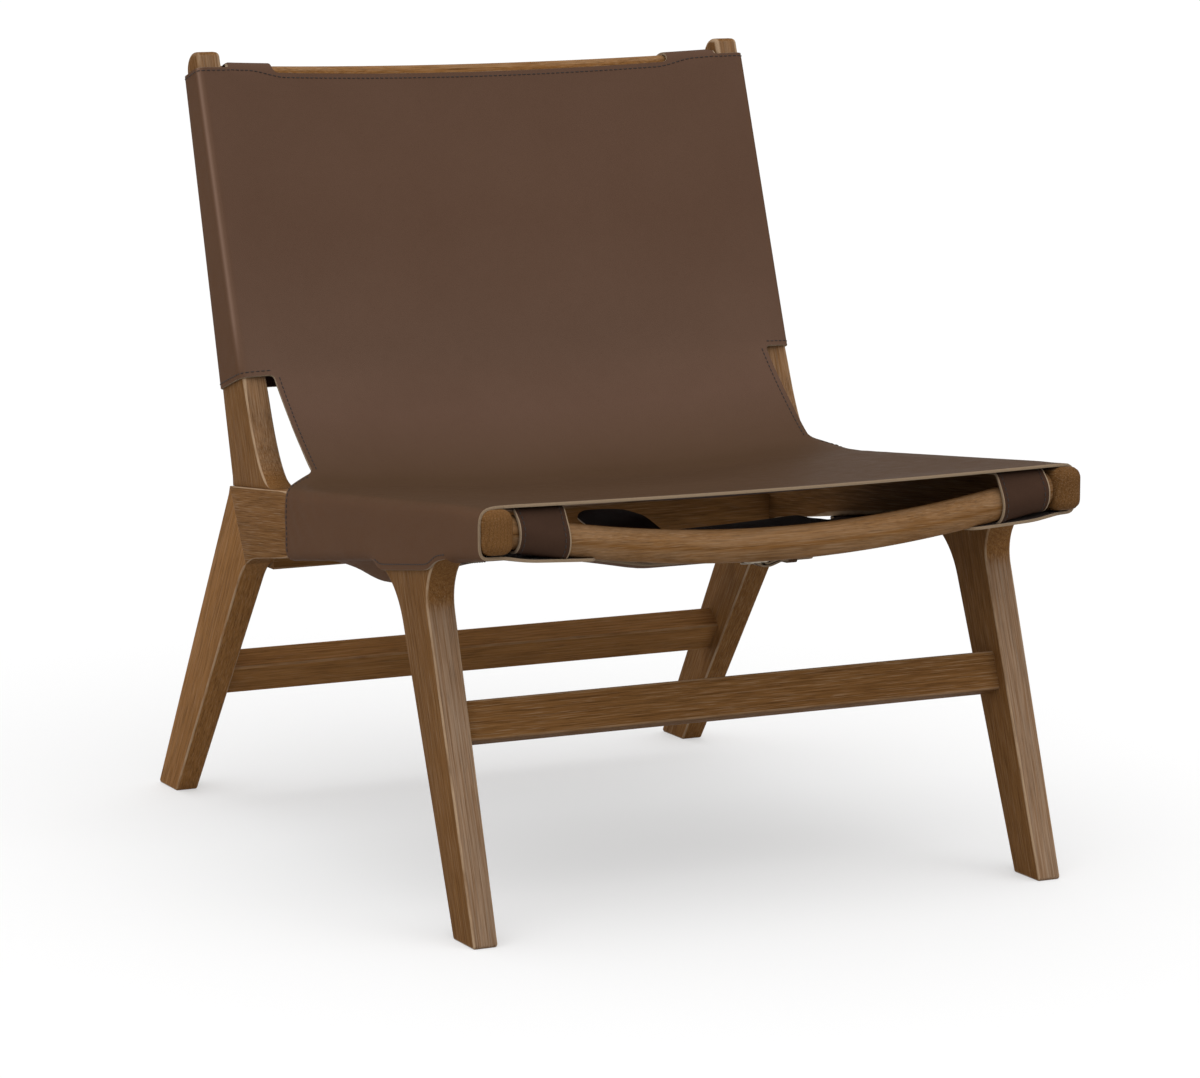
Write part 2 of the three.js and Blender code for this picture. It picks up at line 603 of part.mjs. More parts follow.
// Each row of the sling: its place in the side view at the panel's edge, its sag, and its wing
function slingRows() {
  const seatRow = (y, band, sag = SEAT_SAG, apron = 0) => {
    return { mid: seatMid(y), wing: "seat", y, band, sag, apron };
  };
  const backRow = (z) => ({ mid: backMid(z), wing: "back" });
  const flapTop = POST_HEIGHT - BACK_FLAP_DROP;
  const rows = [
    seatRow(slingFront, "front", FRONT_SAG),
    seatRow(tabRear + LEATHER, "front", FRONT_SAG),
    seatRow(notchFront, "shoulder"),
    seatRow(frontLegFrontTop.x - FRONT_FLARE / 2, "leg", SEAT_SAG, APRON),
    seatRow(seatStrapY[0], "leg", SEAT_SAG, APRON),
    seatRow(frontLegRearTop.x + REAR_FLARE / 4, "leg", SEAT_SAG, APRON),
    seatRow(notchRear, "full"),
    seatRow(seatStrapY[1], "full"),
    seatRow(slingBend[0].x, "rear"),
    { ...seatRow(seatRear, "rear"), mid: notchLow },
    ...notchRows(),
    { mid: notchTop, wing: "back", front: backMid(notchTop.y) },
    backRow(slingBend.at(-1).y),
    backRow((slingBend.at(-1).y + flapTop) / 2),
    backRow(flapTop),
    { ...backRow(backTop), edge: true },
  ];
  const bendTop = rows.findIndex((row) => row.wing === "back");
  rows.forEach((row, i) => {
    const share = (i - bendTop) / (rows.length - 1 - bendTop);
    if (row.wing === "back") row.sag = lerp(SEAT_SAG, backSag, share);
  });
  return rows;
}

// The wing of a row, from the panel's edge out round the wood and in along the flap
function wingPoints(row) {
  const points = [inSpace(panelHalf, row.mid)];
  if (row.wing === "seat") {
    const low = railUnderAt(row.y) - (row.apron || leatherOff);
    points.push(inSpace(seatWingX, seatMid(row.y)), inSpace(seatWingX, at(row.y, low)));
    return [...points, ...flapColumns.map((x, column) => inSpace(x, flapMid(row.y, column)))];
  }
  const front = row.front || row.mid;
  const rear = behind(front);
  points.push(inSpace(backWingX, front), inSpace(backWingX, rear));
  return [...points, ...flapColumns.map((x) => inSpace(x, rear))];
}

// The tabs that go on from the top edge, over the top rail and down its back
function topTabPath(x) {
  const centre = topRailCentre(x);
  const reach = TOP_RAIL_DEPTH / 2 + leatherOff;
  const rise = TOP_RAIL_HEIGHT / 2 + leatherOff;
  const place = (out, up) => centre.clone().addScaledVector(backOut, out).addScaledVector(backUp, up);
  return [place(-TOP_RAIL_DEPTH / 2, rise), place(reach, rise), place(reach, -TOP_RAIL_HEIGHT / 2)];
}

function leatherSling() {
  const rows = slingRows();
  const inner = [-tabInner, -tabInner / 2, 0, tabInner / 2, tabInner];
  const grid = rows.map((row, i) => {
    const wing = wingPoints(row);
    const next = rows[Math.min(i + 1, rows.length - 1)].mid;
    const last = rows[Math.max(i - 1, 0)].mid;
    const along = next.clone().sub(last).normalize();
    const down = at(along.y, -along.x);
    const panel = inner.map((x) => {
      const mid = row.mid.clone().addScaledVector(down, row.sag * sagShare(x));
      if (row.edge) mid.addScaledVector(along, -TOP_EDGE_SAG * sagShare(x));
      return inSpace(x, mid);
    });
    const left = wing.map((point) => point.clone().setX(-point.x)).reverse();
    return [...left, ...panel, ...wing];
  });
  const wingCount = flapColumns.length + 3;
  const tabs = grid[0].map(({ x }) => topTabPath(x).map((mid) => inSpace(x, mid)));
  tabs[0].forEach((_, row) => grid.push(tabs.map((path) => path[row])));
  const columns = grid[0].length;
  const bandCells = { front: [1, 2, 3, 4], shoulder: [1, 2, 4], leg: [1, 2, 4, 5, 6] };
  bandCells.full = [1, 2, 3, 4, 5, 6];
  bandCells.rear = [1, 2, 3, 4, 5];
  const keep = (i, j) => {
    const fromEdge = Math.min(j, columns - 2 - j); // cells from the flap's inner edge
    const outward = wingCount - 1 - fromEdge; // cells out from the panel's edge, along the wing
    const isTab = outward === 0;
    if (i >= rows.length - 1) return isTab;
    if (outward <= 0) return true;
    if (rows[i].wing === "none" || rows[i + 1].wing === "none") return false;
    if (rows[i].wing === "back") return outward < 3 || i < rows.length - 2;
    return bandCells[rows[i].band].includes(outward);
  };
  return sheet(grid, LEATHER, keep);
}

function frontTab() {
  const run = BAR_DIAMETER / 2 + TAB_GAP + TAB_THICKNESS / 2;
  const off = LEATHER_GAP - CLEARANCE - TAB_THICKNESS / 2;
  const underSeat = (x, y) => at(y, railTopAt(y) + off - FRONT_SAG * sagShare(x));
  const columns = [tabInner, (tabInner + tabOuter) / 2, tabOuter];
  const turns = Array.from({ length: ARC_STEPS + 1 }, (_, i) => degToRad(lerp(150, 270, i / ARC_STEPS)));
  const grid = columns.map((x) => {
    const centre = barCentre(x);
    const round = turns.map((angle) => at(run, 0).rotateAround(at(0, 0), angle).add(centre));
    const tail = at(tabRear, centre.y - run);
    const path = [underSeat(x, tabRear), underSeat(x, slingFront), ...round, tail];
    return path.map((point) => inSpace(x, point));
  });
  return sheet(grid, TAB_THICKNESS);
}

// Straps, each in a frame of its own: x along the strap, y across it, z out from the flap

const layer = STRAP_THICKNESS + CLEARANCE;
const lowMid = CLEARANCE + STRAP_THICKNESS / 2; // height of the first layer's middle above the flap
const barHalf = BUCKLE_WIRE / 2;
const foldRadius = barHalf * Math.SQRT2 + CLEARANCE + STRAP_THICKNESS / 2; // round the buckle's square bar
const hinge = at(BUCKLE_LENGTH / 2 - barHalf, lowMid + foldRadius); // the bar that the prong turns on
const foldOuter = foldRadius + STRAP_THICKNESS / 2;
const slotWidth = PRONG_WIDTH + 2 * (CLEARANCE + barHalf / 2);

// A strap of even thickness whose middle follows a path of x and z
function ribbon(path, width) {
  const grid = [width / 2, -width / 2].map((y) => path.map((p) => new THREE.Vector3(p.x, y, p.y)));
  return sheet(grid, STRAP_THICKNESS);
}

function slot(from, to) {
  const height = 8 * foldOuter;
  return new THREE.BoxGeometry(to - from, slotWidth, height).translate((from + to) / 2, 0, height / 4);
}

function buckleStrap() {
  const fold = Array.from({ length: ARC_STEPS + 1 }, (_, i) => {
    const angle = degToRad(lerp(270, 90, i / ARC_STEPS));
    return at(Math.cos(angle), Math.sin(angle)).multiplyScalar(foldRadius).add(hinge);
  });
  const settle = at(hinge.x + 2 * foldRadius + BUCKLE_WIRE * 3, lowMid + layer);
  const end = at(BUCKLE_STRAP_END - STRAP_WIDTH / 5, settle.y);
  const path = [at(BUCKLE_STRAP_END, lowMid), ...fold, settle, end];
  return cut(ribbon(path, STRAP_WIDTH), slot(hinge.x - 2 * foldOuter, hinge.x + 2 * foldOuter));
}

function tongueStrap() {
  const farBar = BUCKLE_WIRE - BUCKLE_LENGTH / 2;
  const crest = hinge.y + foldOuter + lowMid;
  const settle = at(KEEPER_PLACE - KEEPER_WIDTH, lowMid + 2 * layer);
  const path = [at(TONGUE_START, lowMid), at(farBar, lowMid), at(hinge.x - foldOuter, crest)];
  path.push(at(hinge.x + foldRadius, crest), settle, at(TONGUE_END, settle.y));
  return cut(ribbon(path, STRAP_WIDTH), slot(farBar + BUCKLE_WIRE / 2, hinge.x + foldOuter));
}

function keeper() {
  const reach = STRAP_WIDTH / 2 + layer - STRAP_THICKNESS / 2;
  const crest = lowMid + 3 * layer;
  const arch = [at(-reach, CLEARANCE), at(-reach, crest), at(reach, crest), at(reach, CLEARANCE)];
  const ends = [KEEPER_PLACE - KEEPER_WIDTH / 2, KEEPER_PLACE + KEEPER_WIDTH / 2];
  return sheet(ends.map((x) => arch.map((p) => new THREE.Vector3(x, p.x, p.y))), STRAP_THICKNESS);
}

function rectangle(width, height, radius) {
  const ring = roundedRing(new THREE.Vector3(), X_AXIS, Y_AXIS, width, height, radius);
  return ring.map((p) => new THREE.Vector2(p.x, p.y));
}

function buckle() {
  const frame = new THREE.Shape(rectangle(BUCKLE_LENGTH, BUCKLE_OPENING + 2 * BUCKLE_WIRE, BUCKLE_WIRE));
  const opening = rectangle(BUCKLE_LENGTH - 2 * BUCKLE_WIRE, BUCKLE_OPENING, BUCKLE_WIRE / 4);
  frame.holes.push(new THREE.Path(opening));
  const geometry = new THREE.ExtrudeGeometry(frame, { depth: BUCKLE_WIRE, bevelEnabled: false });
  return geometry.translate(0, 0, hinge.y - barHalf);
}

// The prong about its hinge, lying across the buckle on the far bar
function prong() {
  const eye = new THREE.Shape().absarc(0, 0, PRONG_EYE, 0, 2 * Math.PI);
  eye.holes.push(new THREE.Path().absarc(0, 0, barHalf * Math.SQRT2 + CLEARANCE, 0, 2 * Math.PI));
  const extrusion = { depth: PRONG_WIDTH, bevelEnabled: false, curveSegments: ARC_STEPS };
  const ring = new THREE.ExtrudeGeometry(eye, extrusion);
  ring.translate(0, 0, -PRONG_WIDTH / 2).rotateX(-Math.PI / 2);
  const tip = at(-BUCKLE_LENGTH + BUCKLE_WIRE / 2, barHalf + 3 * CLEARANCE + PRONG_WIDTH / 2);
  const root = at(-PRONG_EYE + BUCKLE_WIRE / 4, BUCKLE_WIRE / 4);
  const length = tip.distanceTo(root);
  const shank = new THREE.BoxGeometry(length, PRONG_WIDTH, PRONG_WIDTH);
  shank.rotateY(-lineAngle(tip, root)).translate((tip.x + root.x) / 2, 0, (tip.y + root.y) / 2);
  return join(ring, shank);
}

// Assembly

const chair = new THREE.Group();

function piece(name, geometry, finish, parent = chair) {
  const mesh = new THREE.Mesh(geometry, new THREE.MeshStandardMaterial(finish));
  mesh.name = name;
  parent.add(mesh);
  return mesh;
}

function pair(name, geometry, finish) {
  piece(`${name}_right`, geometry, finish);
  piece(`${name}_left`, geometry, finish).scale.x = -1;
}

pair("side_rail", sideRail(), WOOD);
pair("front_leg", frontLeg(), WOOD);
pair("rear_leg", rearLeg(), WOOD);
pair("back_post", backPost(), WOOD);
Object.entries(tenonJoints).forEach(([name, joint]) => {
  pair(`${name}_tenon`, looseTenon(joint), WOOD);
});
piece("front_seat_rail", tenonedBeam(frontBar, STUB_LENGTH), WOOD);
piece("rear_seat_rail", tenonedBeam(rearRail, SHORT_STUB), WOOD);
piece("top_back_rail", tenonedBeam(topRail, STUB_LENGTH), WOOD);
piece("front_stretcher", tenonedBeam(frontStretcher, STUB_LENGTH), WOOD);
piece("rear_stretcher", tenonedBeam(rearStretcher, STUB_LENGTH), WOOD);
piece("leather_sling", leatherSling(), HIDE);
pair("front_tab", frontTab(), HIDE);

// A strap set on a flap, at a side view point of the flap's outer face and its outward direction
function strapSet(name, place, outward) {
  const set = new THREE.Group();
  const out = inSpace(0, outward).normalize();
  const turn = new THREE.Matrix4().makeBasis(X_AXIS, out.clone().cross(X_AXIS), out);
  set.quaternion.setFromRotationMatrix(turn);
  set.position.copy(inSpace(STRAP_OFFSET, place));
  chair.add(set);
  piece(`${name}_tongue`, tongueStrap(), HIDE, set);
  piece(`${name}_buckle_strap`, buckleStrap(), HIDE, set);
  piece(`${name}_keeper`, keeper(), HIDE, set);
  piece(`${name}_buckle`, buckle(), METAL, set);
  piece(`${name}_prong`, prong(), METAL, set).position.set(hinge.x, 0, hinge.y);
}

const flapPlaces = seatStrapY.map((y) => flapMid(y, flapColumns.length - 1));
const flapDirection = flapPlaces[1].clone().sub(flapPlaces[0]).normalize();
const flapOut = at(flapDirection.y, -flapDirection.x);
["seat_front", "seat_rear"].forEach((name, i) => {
  strapSet(name, flapPlaces[i].addScaledVector(flapOut, LEATHER / 2), flapOut);
});
["back_lower", "back_upper"].forEach((name, i) => {
  const z = POST_HEIGHT - BACK_STRAPS[i];
  const place = at(postRearAt(z), z).addScaledVector(backRearOff, leatherOff + LEATHER / 2);
  strapSet(name, place, backRearOff);
});

// The origin is on the floor, under the middle of the chair's length
chair.position.y = -(railFront + footRear) / 2;

export default chair;
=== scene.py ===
"""Looks for a low lounge chair: two wooden side frames, and a sheet of thick leather slung over
them and drawn tight by buckled straps.

Shapes are worked out in millimetres, where the CAD source has them: the chair faces -Y, x runs
across it and z is up from the floor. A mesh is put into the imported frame, in metres, when it is made.
"""

import math

import bpy
import numpy as np
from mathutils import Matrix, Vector
from mathutils.geometry import delaunay_2d_cdt
from mathutils.kdtree import KDTree


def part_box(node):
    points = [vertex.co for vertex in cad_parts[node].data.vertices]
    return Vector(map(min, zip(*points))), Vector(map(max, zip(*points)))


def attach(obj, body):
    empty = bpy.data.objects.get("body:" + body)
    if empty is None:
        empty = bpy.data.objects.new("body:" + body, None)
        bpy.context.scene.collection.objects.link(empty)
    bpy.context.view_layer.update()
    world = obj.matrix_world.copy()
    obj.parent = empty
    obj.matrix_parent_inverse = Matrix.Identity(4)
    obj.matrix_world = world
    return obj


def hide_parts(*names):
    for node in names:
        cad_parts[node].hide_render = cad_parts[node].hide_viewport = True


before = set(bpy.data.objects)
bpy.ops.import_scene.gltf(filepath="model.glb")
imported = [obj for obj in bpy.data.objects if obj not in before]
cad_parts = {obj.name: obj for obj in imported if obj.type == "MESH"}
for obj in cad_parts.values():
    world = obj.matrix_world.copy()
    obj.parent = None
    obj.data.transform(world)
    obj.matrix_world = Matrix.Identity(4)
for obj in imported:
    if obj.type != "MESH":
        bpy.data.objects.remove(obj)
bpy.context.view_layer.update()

MM = 0.001
SEED = 7

# Side frames, as in the CAD source
HALF = 320  # from the chair's middle to the outer face of a side frame
MEMBER = 30
FOOT_THICKNESS = 25
FOOT_BASE = 823
RAIL_CORNER_HEIGHT = 356
RAIL_CORNER_SETBACK = 222
RAIL_RUN = 632
RAIL_RISE = 62.4
RAIL_DEPTH_FRONT = 42
RAIL_DEPTH_REAR = 74.5
FRONT_LEG_SETBACK = 150
FRONT_LEG_TOP = 65
FRONT_FOOT = 48
FRONT_FLARE = 45
REAR_FLARE = 80
REAR_LEG_TOP = 38
REAR_FOOT = 52
REAR_LEG_FLARE = 75
POST_HEIGHT = 798
POST_THICKNESS = 26
POST_INSET = 3.5
POST_FOOT = 71
POST_TOP = 36
POST_REAR_LEAN = math.radians(15.5)
POST_FLARE_UP = 95
POST_FLARE_OUT = 35
POST_REAR_RADIUS = 20
POST_FRONT_RADIUS = 6

# Cross members, as in the CAD source
BAR_DIAMETER = 32
BAR_SETBACK = 25
BAR_DIP = 32
STRETCHER_HEIGHT = 39
STRETCHER_DEPTH = 28
FRONT_STRETCHER_LEVEL = 195
REAR_STRETCHER_LEVEL = 140
REAR_RAIL_HEIGHT = 43
REAR_RAIL_DEPTH = 22
REAR_RAIL_LEVEL = 294
TOP_RAIL_HEIGHT = 44
TOP_RAIL_DEPTH = 22
TOP_RAIL_DROP = 37
TOP_RAIL_BOW = 22
TOP_RAIL_ARRIS = 7

# Edges of the wood. A span is two distances from a place, between which something fades in
CLEARANCE = 0.3  # between pieces that touch
ARRIS = 2.2  # rounding of the wood's long edges
RAIL_ARRIS = 0.6 * ARRIS
RAIL_END_ARRIS = 10  # rounding of the side rail's front end
RAIL_END_SPAN = (75, 30)
RAIL_COVERED_ARRIS = 6  # rounding of the side rail's edges under the leather
RAIL_COVERED_SPAN = (20, -20)
POST_COVERED_ARRIS = 4.5  # rounding of the post's edges under the leather and above it
POST_COVERED_SPAN = (-30, 10)
RAIL_SEAM_ARRIS = (0.2, 0.3)  # rounding at a joint, and its gain with the distance from it
SEAM_ARRIS = (0.05, 0.25)
FOOT_CORNER = 3
FOOT_CORNER_STEPS = 6
ARRIS_STEPS = 4
ARC_STEPS = 20
OUTLINE_STEP = 9  # longest straight step along a wooden outline
SHARPEST = 0.5  # a sharp corner moves by no more than its inset divided by this
BEAM_STATIONS = 41

# Leather sling, as in the CAD source
LEATHER = 3
LEATHER_GAP = 0.4
LEATHER_OFF = LEATHER_GAP + LEATHER / 2  # from the wood to the middle of the leather
PANEL_HALF = HALF - 34
SLING_FRONT_SETBACK = 12
SLING_BEND = 180
SEAT_SAG = 12
FRONT_SAG = 3
TOP_EDGE_DROP = 14
TOP_EDGE_CUT = 7  # how far the top edge is cut below the foot of its tabs
NOTCH_LOW = 30
NOTCH_TOP = 116
NOTCH_LIFT = 6
NOTCH_BOW = 0.5
WING_SETBACK = 17
APRON = 12
FRONT_SLACK = 5  # of the loop round the side rail's front end
FLAP_COLUMNS = [282, 200, 110, 28]
STRAPPED_COLUMN = 2  # the first column that the straps cross
# How far the flaps under the seat lie below the rails, from front to rear, at each column
FLAP_DROPS = [
    [5.5, 10, 6, 6],
    [3, 5, 6, 6],
    [5, 6, 20, 20],
    [30, -3, 0, 0],
    [3, -18, -16, -16],
    [1, -20, -24, -24],
]
FLAP_END = 5  # where the flaps' rear edges reach the side rails
LOBE = 52  # how far the left flap's free corner reaches across, at the rear strap
LOBE_FRONT = -16
LOBE_REAR = 116
LOBE_LIFT = 13  # how far that corner curls up
BACK_FLAP_DROP = 86
TAB_WIDTH = 52
TAB_SIDE_GAP = 6
TAB_THICKNESS = 2.5
TAB_TAIL = 30
TAB_GAP = 0.6

# Straps, as in the CAD source
STRAP_WIDTH = 25
STRAP_THICKNESS = 2
STRAP_OFFSET = 30
TONGUE_START = -126
TONGUE_END = 64
BUCKLE_STRAP_END = 74
SEAT_STRAPS = [143, 308]
BACK_STRAPS = [268, 138]
BUCKLE_LENGTH = 25
BUCKLE_WIRE = 3
BUCKLE_OPENING = 28
PRONG_WIDTH = 2.6
KEEPER_WIDTH = 10
KEEPER_PLACE = 38

# Sewing
STITCH_PITCH = 5.6
STITCH_LENGTH = 4.4
STITCH_STEP = 1.5  # between the places where the leather under a seam is read
STITCH_SIDES = 6
# A stitch at shares of its length: how wide it is and how far it rises, in radii of its thread
STITCH_SHAPE = [
    (0.0, 0.25, -0.5), (0.12, 0.85, 0.25), (0.5, 1.0, 0.5), (0.88, 0.85, 0.25), (1.0, 0.25, -0.5),
]
THREAD = 0.55  # radius
HEM = 5  # from a sewn edge to its stitches

# Camera and light
CAMERA_AZIMUTH = math.radians(-26.26)
CAMERA_ELEVATION = math.radians(9.26)
CAMERA_DISTANCE = 4.698
CAMERA_TARGET = Vector((0.0108, 0.0102, 0.305))
CAMERA_SENSOR = 36
CAMERA_LENS = 136.8
KEY_DIRECTION = Vector((-0.1, -0.55, 0.82))  # towards the lamp
KEY_SPREAD = math.radians(90)
KEY_LEVEL = 1.25
WORLD_LEVEL = 0.88
FLOOR_REACH = 60
FLOOR_COLOUR = (0.5, 0.5, 0.5, 1)
FLOOR_GLOW = 0.43
WHITE = (1, 1, 1, 1)


def at(*values):
    return np.array(values, float)


def unit(vector):
    return vector / np.linalg.norm(vector, axis=-1, keepdims=True)


def mix(a, b, share):
    return a + (b - a) * share


def smoothstep(low, high, value):
    share = np.clip((value - low) / (high - low), 0, 1)
    return share * share * (3 - 2 * share)


def fade(value, place, span):
    """A smooth step from one end of a span to the other, measured from a place."""
    return smoothstep(place + span[0], place + span[1], value)


# Lines in two dimensions, in the side view or on a flat cut

def cross(a, b):
    return a[..., 0] * b[..., 1] - a[..., 1] * b[..., 0]


def left_of(vector):
    """The vector after a quarter turn to the left."""
    return np.stack([-vector[..., 1], vector[..., 0]], axis=-1)


def circle(centre, radius, angles):
    return centre + radius * np.stack([np.cos(angles), np.sin(angles)], axis=-1)


def fillet(before, corner, after, radius, steps=ARC_STEPS):
    """The arc that rounds a corner, from the side of one neighbour to the side of the other."""
    to_before, to_after = unit(before - corner), unit(after - corner)
    half_angle = math.acos(np.clip(to_before @ to_after, -1, 1)) / 2
    reach = radius / math.tan(half_angle)
    centre = corner + unit(to_before + to_after) * radius / math.sin(half_angle)
    start = corner + to_before * reach - centre
    end = corner + to_after * reach - centre
    angles = np.linspace(0, math.atan2(cross(start, end), start @ end), steps + 1)[:, None]
    return centre + start * np.cos(angles) + left_of(start) * np.sin(angles)


def crossing(a, b, c, d):
    """The point where the line a to b meets the line c to d."""
    return a + (b - a) * (cross(c - a, d - c) / cross(b - a, d - c))


def line_distance(points, a, b):
    return np.abs(cross(points - a, unit(b - a)))


def loop_area(loop):
    """The area in a loop, less than nothing where the loop turns right."""
    return np.sum(cross(loop, np.roll(loop, -1, axis=0))) / 2


def dense(points, step, closed=True):
    """The same line with points no further apart than a step."""
    ends = np.roll(points, -1, axis=0) if closed else points[1:]
    found = []
    for start, end in zip(points, ends):
        count = max(1, math.ceil(np.linalg.norm(end - start) / step))
        found.extend(mix(start, end, i / count) for i in range(count))
    if not closed:
        found.append(points[-1])
    return np.array(found)


def rounded_loop(corners, step):
    """A closed outline through corners of (place, place, radius), each rounded."""
    places = [at(a, b) for a, b, _ in corners]
    found = []
    for i, (_, _, radius) in enumerate(corners):
        steps = max(3, math.ceil(radius / step * 2))
        after = places[(i + 1) % len(places)]
        found.extend(fillet(places[i - 1], places[i], after, radius, steps))
    return dense(np.array(found), step)


def plate(along, across, radii, step):
    """A rectangle's outline, with a radius for its corners at each end."""
    (start, end), (low, high), (first, last) = along, across, radii
    corners = [(start, low, first), (end, low, last), (end, high, last), (start, high, first)]
    return rounded_loop(corners, step)


def distances(points):
    """How far along its line each point lies."""
    steps = np.linalg.norm(np.diff(points, axis=0), axis=1)
    return np.concatenate([[0], np.cumsum(steps)])


def read(s, places, points):
    """A line's point at s, where its own points lie at places."""
    return np.stack([np.interp(s, places, axis) for axis in np.transpose(points)], axis=-1)


class Path:
    """A line that can be read at any distance along it, and beyond its ends."""

    EXTRA = 80

    def __init__(self, points):
        points = np.array(points, float)
        first = points[0] + unit(points[0] - points[1]) * self.EXTRA
        last = points[-1] + unit(points[-1] - points[-2]) * self.EXTRA
        self.points = np.vstack([first, points, last])
        self.places = distances(self.points) - self.EXTRA
        self.length = self.places[-1] - self.EXTRA

    def point(self, s):
        return read(s, self.places, self.points)

    def tangent(self, s, reach=4):
        return unit(self.point(s + reach) - self.point(s - reach))


# Side view of the frame

inner_face = HALF - MEMBER
foot_front = -FOOT_BASE / 2
foot_rear = FOOT_BASE / 2
rail_corner = at(foot_rear - RAIL_CORNER_SETBACK, RAIL_CORNER_HEIGHT)
rail_front = rail_corner[0] - RAIL_RUN


def rail_top(y):
    return at(y, RAIL_CORNER_HEIGHT + (rail_corner[0] - y) * RAIL_RISE / RAIL_RUN)


under_front = rail_top(rail_front) - at(0, RAIL_DEPTH_FRONT)
under_rear = rail_top(rail_corner[0] - REAR_LEG_TOP) - at(0, RAIL_DEPTH_REAR)


def rail_under(y):
    return mix(under_front, under_rear, (y - rail_front) / (under_rear[0] - rail_front))


front_leg_front = rail_under(rail_front + FRONT_LEG_SETBACK)
front_leg_rear = rail_under(front_leg_front[0] + FRONT_LEG_TOP)
front_foot_front = at(foot_front, 0)
front_foot_rear = at(foot_front + FRONT_FOOT, 0)
rear_foot_front = at(foot_rear - REAR_FOOT, 0)
rear_foot_rear = at(foot_rear, 0)
front_flare = fillet(front_foot_front, front_leg_front, under_front, FRONT_FLARE)
rear_flare = fillet(front_foot_rear, front_leg_rear, under_rear, REAR_FLARE)
rear_leg_arc = fillet(rear_foot_front, under_rear, under_front, REAR_LEG_FLARE)
seam_low = rear_leg_arc[ARC_STEPS // 2]

post_front_foot = rail_top(rail_corner[0] - POST_FOOT)


def post_rear(z):
    return at(rail_corner[0] + (z - rail_corner[1]) * math.tan(POST_REAR_LEAN), z)


post_front_top = post_rear(POST_HEIGHT) - at(POST_TOP, 0)


def post_front(z):
    share = (z - post_front_foot[1]) / (POST_HEIGHT - post_front_foot[1])
    return mix(post_front_foot, post_front_top, share)


post_run = post_front_top - post_front_foot
post_front_lean = math.atan2(post_run[0], post_run[1])
post_lean = (post_front_lean + POST_REAR_LEAN) / 2
post_outer = HALF - POST_INSET
post_inner = post_outer - POST_THICKNESS
back_up = at(math.sin(post_lean), math.cos(post_lean))
back_out = at(math.cos(post_lean), -math.sin(post_lean))

bar_y = rail_front + BAR_SETBACK
bar_end_z = (rail_top(bar_y)[1] + rail_under(bar_y)[1]) / 2
top_rail_z = POST_HEIGHT - TOP_RAIL_DROP
top_rail_end = (post_front(top_rail_z) + post_rear(top_rail_z)) / 2


def bar_centre(x):
    return at(bar_y, bar_end_z - BAR_DIP * (1 - (x / inner_face) ** 2))


def top_rail_centre(x):
    return top_rail_end + back_out * TOP_RAIL_BOW * (1 - (x / post_inner) ** 2)


# Meshes

scene = bpy.context.scene
random = np.random.default_rng(SEED)
shift = at(0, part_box("side_rail_right")[0].y / MM - rail_front, 0)


def placed(x, line):
    """Points of a line in two dimensions, with x put before them."""
    return np.column_stack([np.broadcast_to(x, len(line)), line])


def scene_object(name, data, facing=None):
    """An object in the scene, turned to look in a direction if it has one."""
    made = bpy.data.objects.new(name, data)
    scene.collection.objects.link(made)
    if facing is not None:
        made.rotation_mode = "QUATERNION"
        made.rotation_quaternion = facing.to_track_quat("-Z", "Y")
    return made


def mesh_object(name, points, faces, materials, indices=None, fields=None, crease=40):
    """A smooth object from points in millimetres, with edges sharper than the crease kept sharp."""
    mesh = bpy.data.meshes.new(name)
    points = (points + shift) * MM
    mesh.from_pydata(points.tolist(), [], [list(map(int, face)) for face in faces])
    for made in materials:
        mesh.materials.append(made)
    if indices is not None:
        mesh.polygons.foreach_set("material_index", np.asarray(indices, np.int32))
    for field, values in (fields or {}).items():
        values = np.asarray(values, np.float32)
        kind, key = ("FLOAT", "value") if values.ndim == 1 else ("FLOAT_VECTOR", "vector")
        mesh.attributes.new(field, kind, "POINT").data.foreach_set(key, values.ravel())
    mesh.polygons.foreach_set("use_smooth", np.ones(len(mesh.polygons), bool))
    mesh.set_sharp_from_angle(angle=math.radians(crease))
    mesh.validate()
    return scene_object(name, mesh)


def dress(piece, body="chair", nodes=()):
    """Puts a piece on its body and hides the CAD nodes that it stands for."""
    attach(piece, body)
    if nodes:
        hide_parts(*nodes)
    return piece


def tube_faces(rings, count, closed=False):
    """Faces of a tube through rings of points, with flat ends unless it is closed on itself."""
    faces = []
    for ring in range(rings if closed else rings - 1):
        here, there = ring * count, (ring + 1) % rings * count
        for i in range(count):
            j = (i + 1) % count
            faces.append((here + i, here + j, there + j, there + i))
    if not closed:
        faces.append(tuple(reversed(range(count))))
        faces.append(tuple(range((rings - 1) * count, rings * count)))
    return faces


# Materials

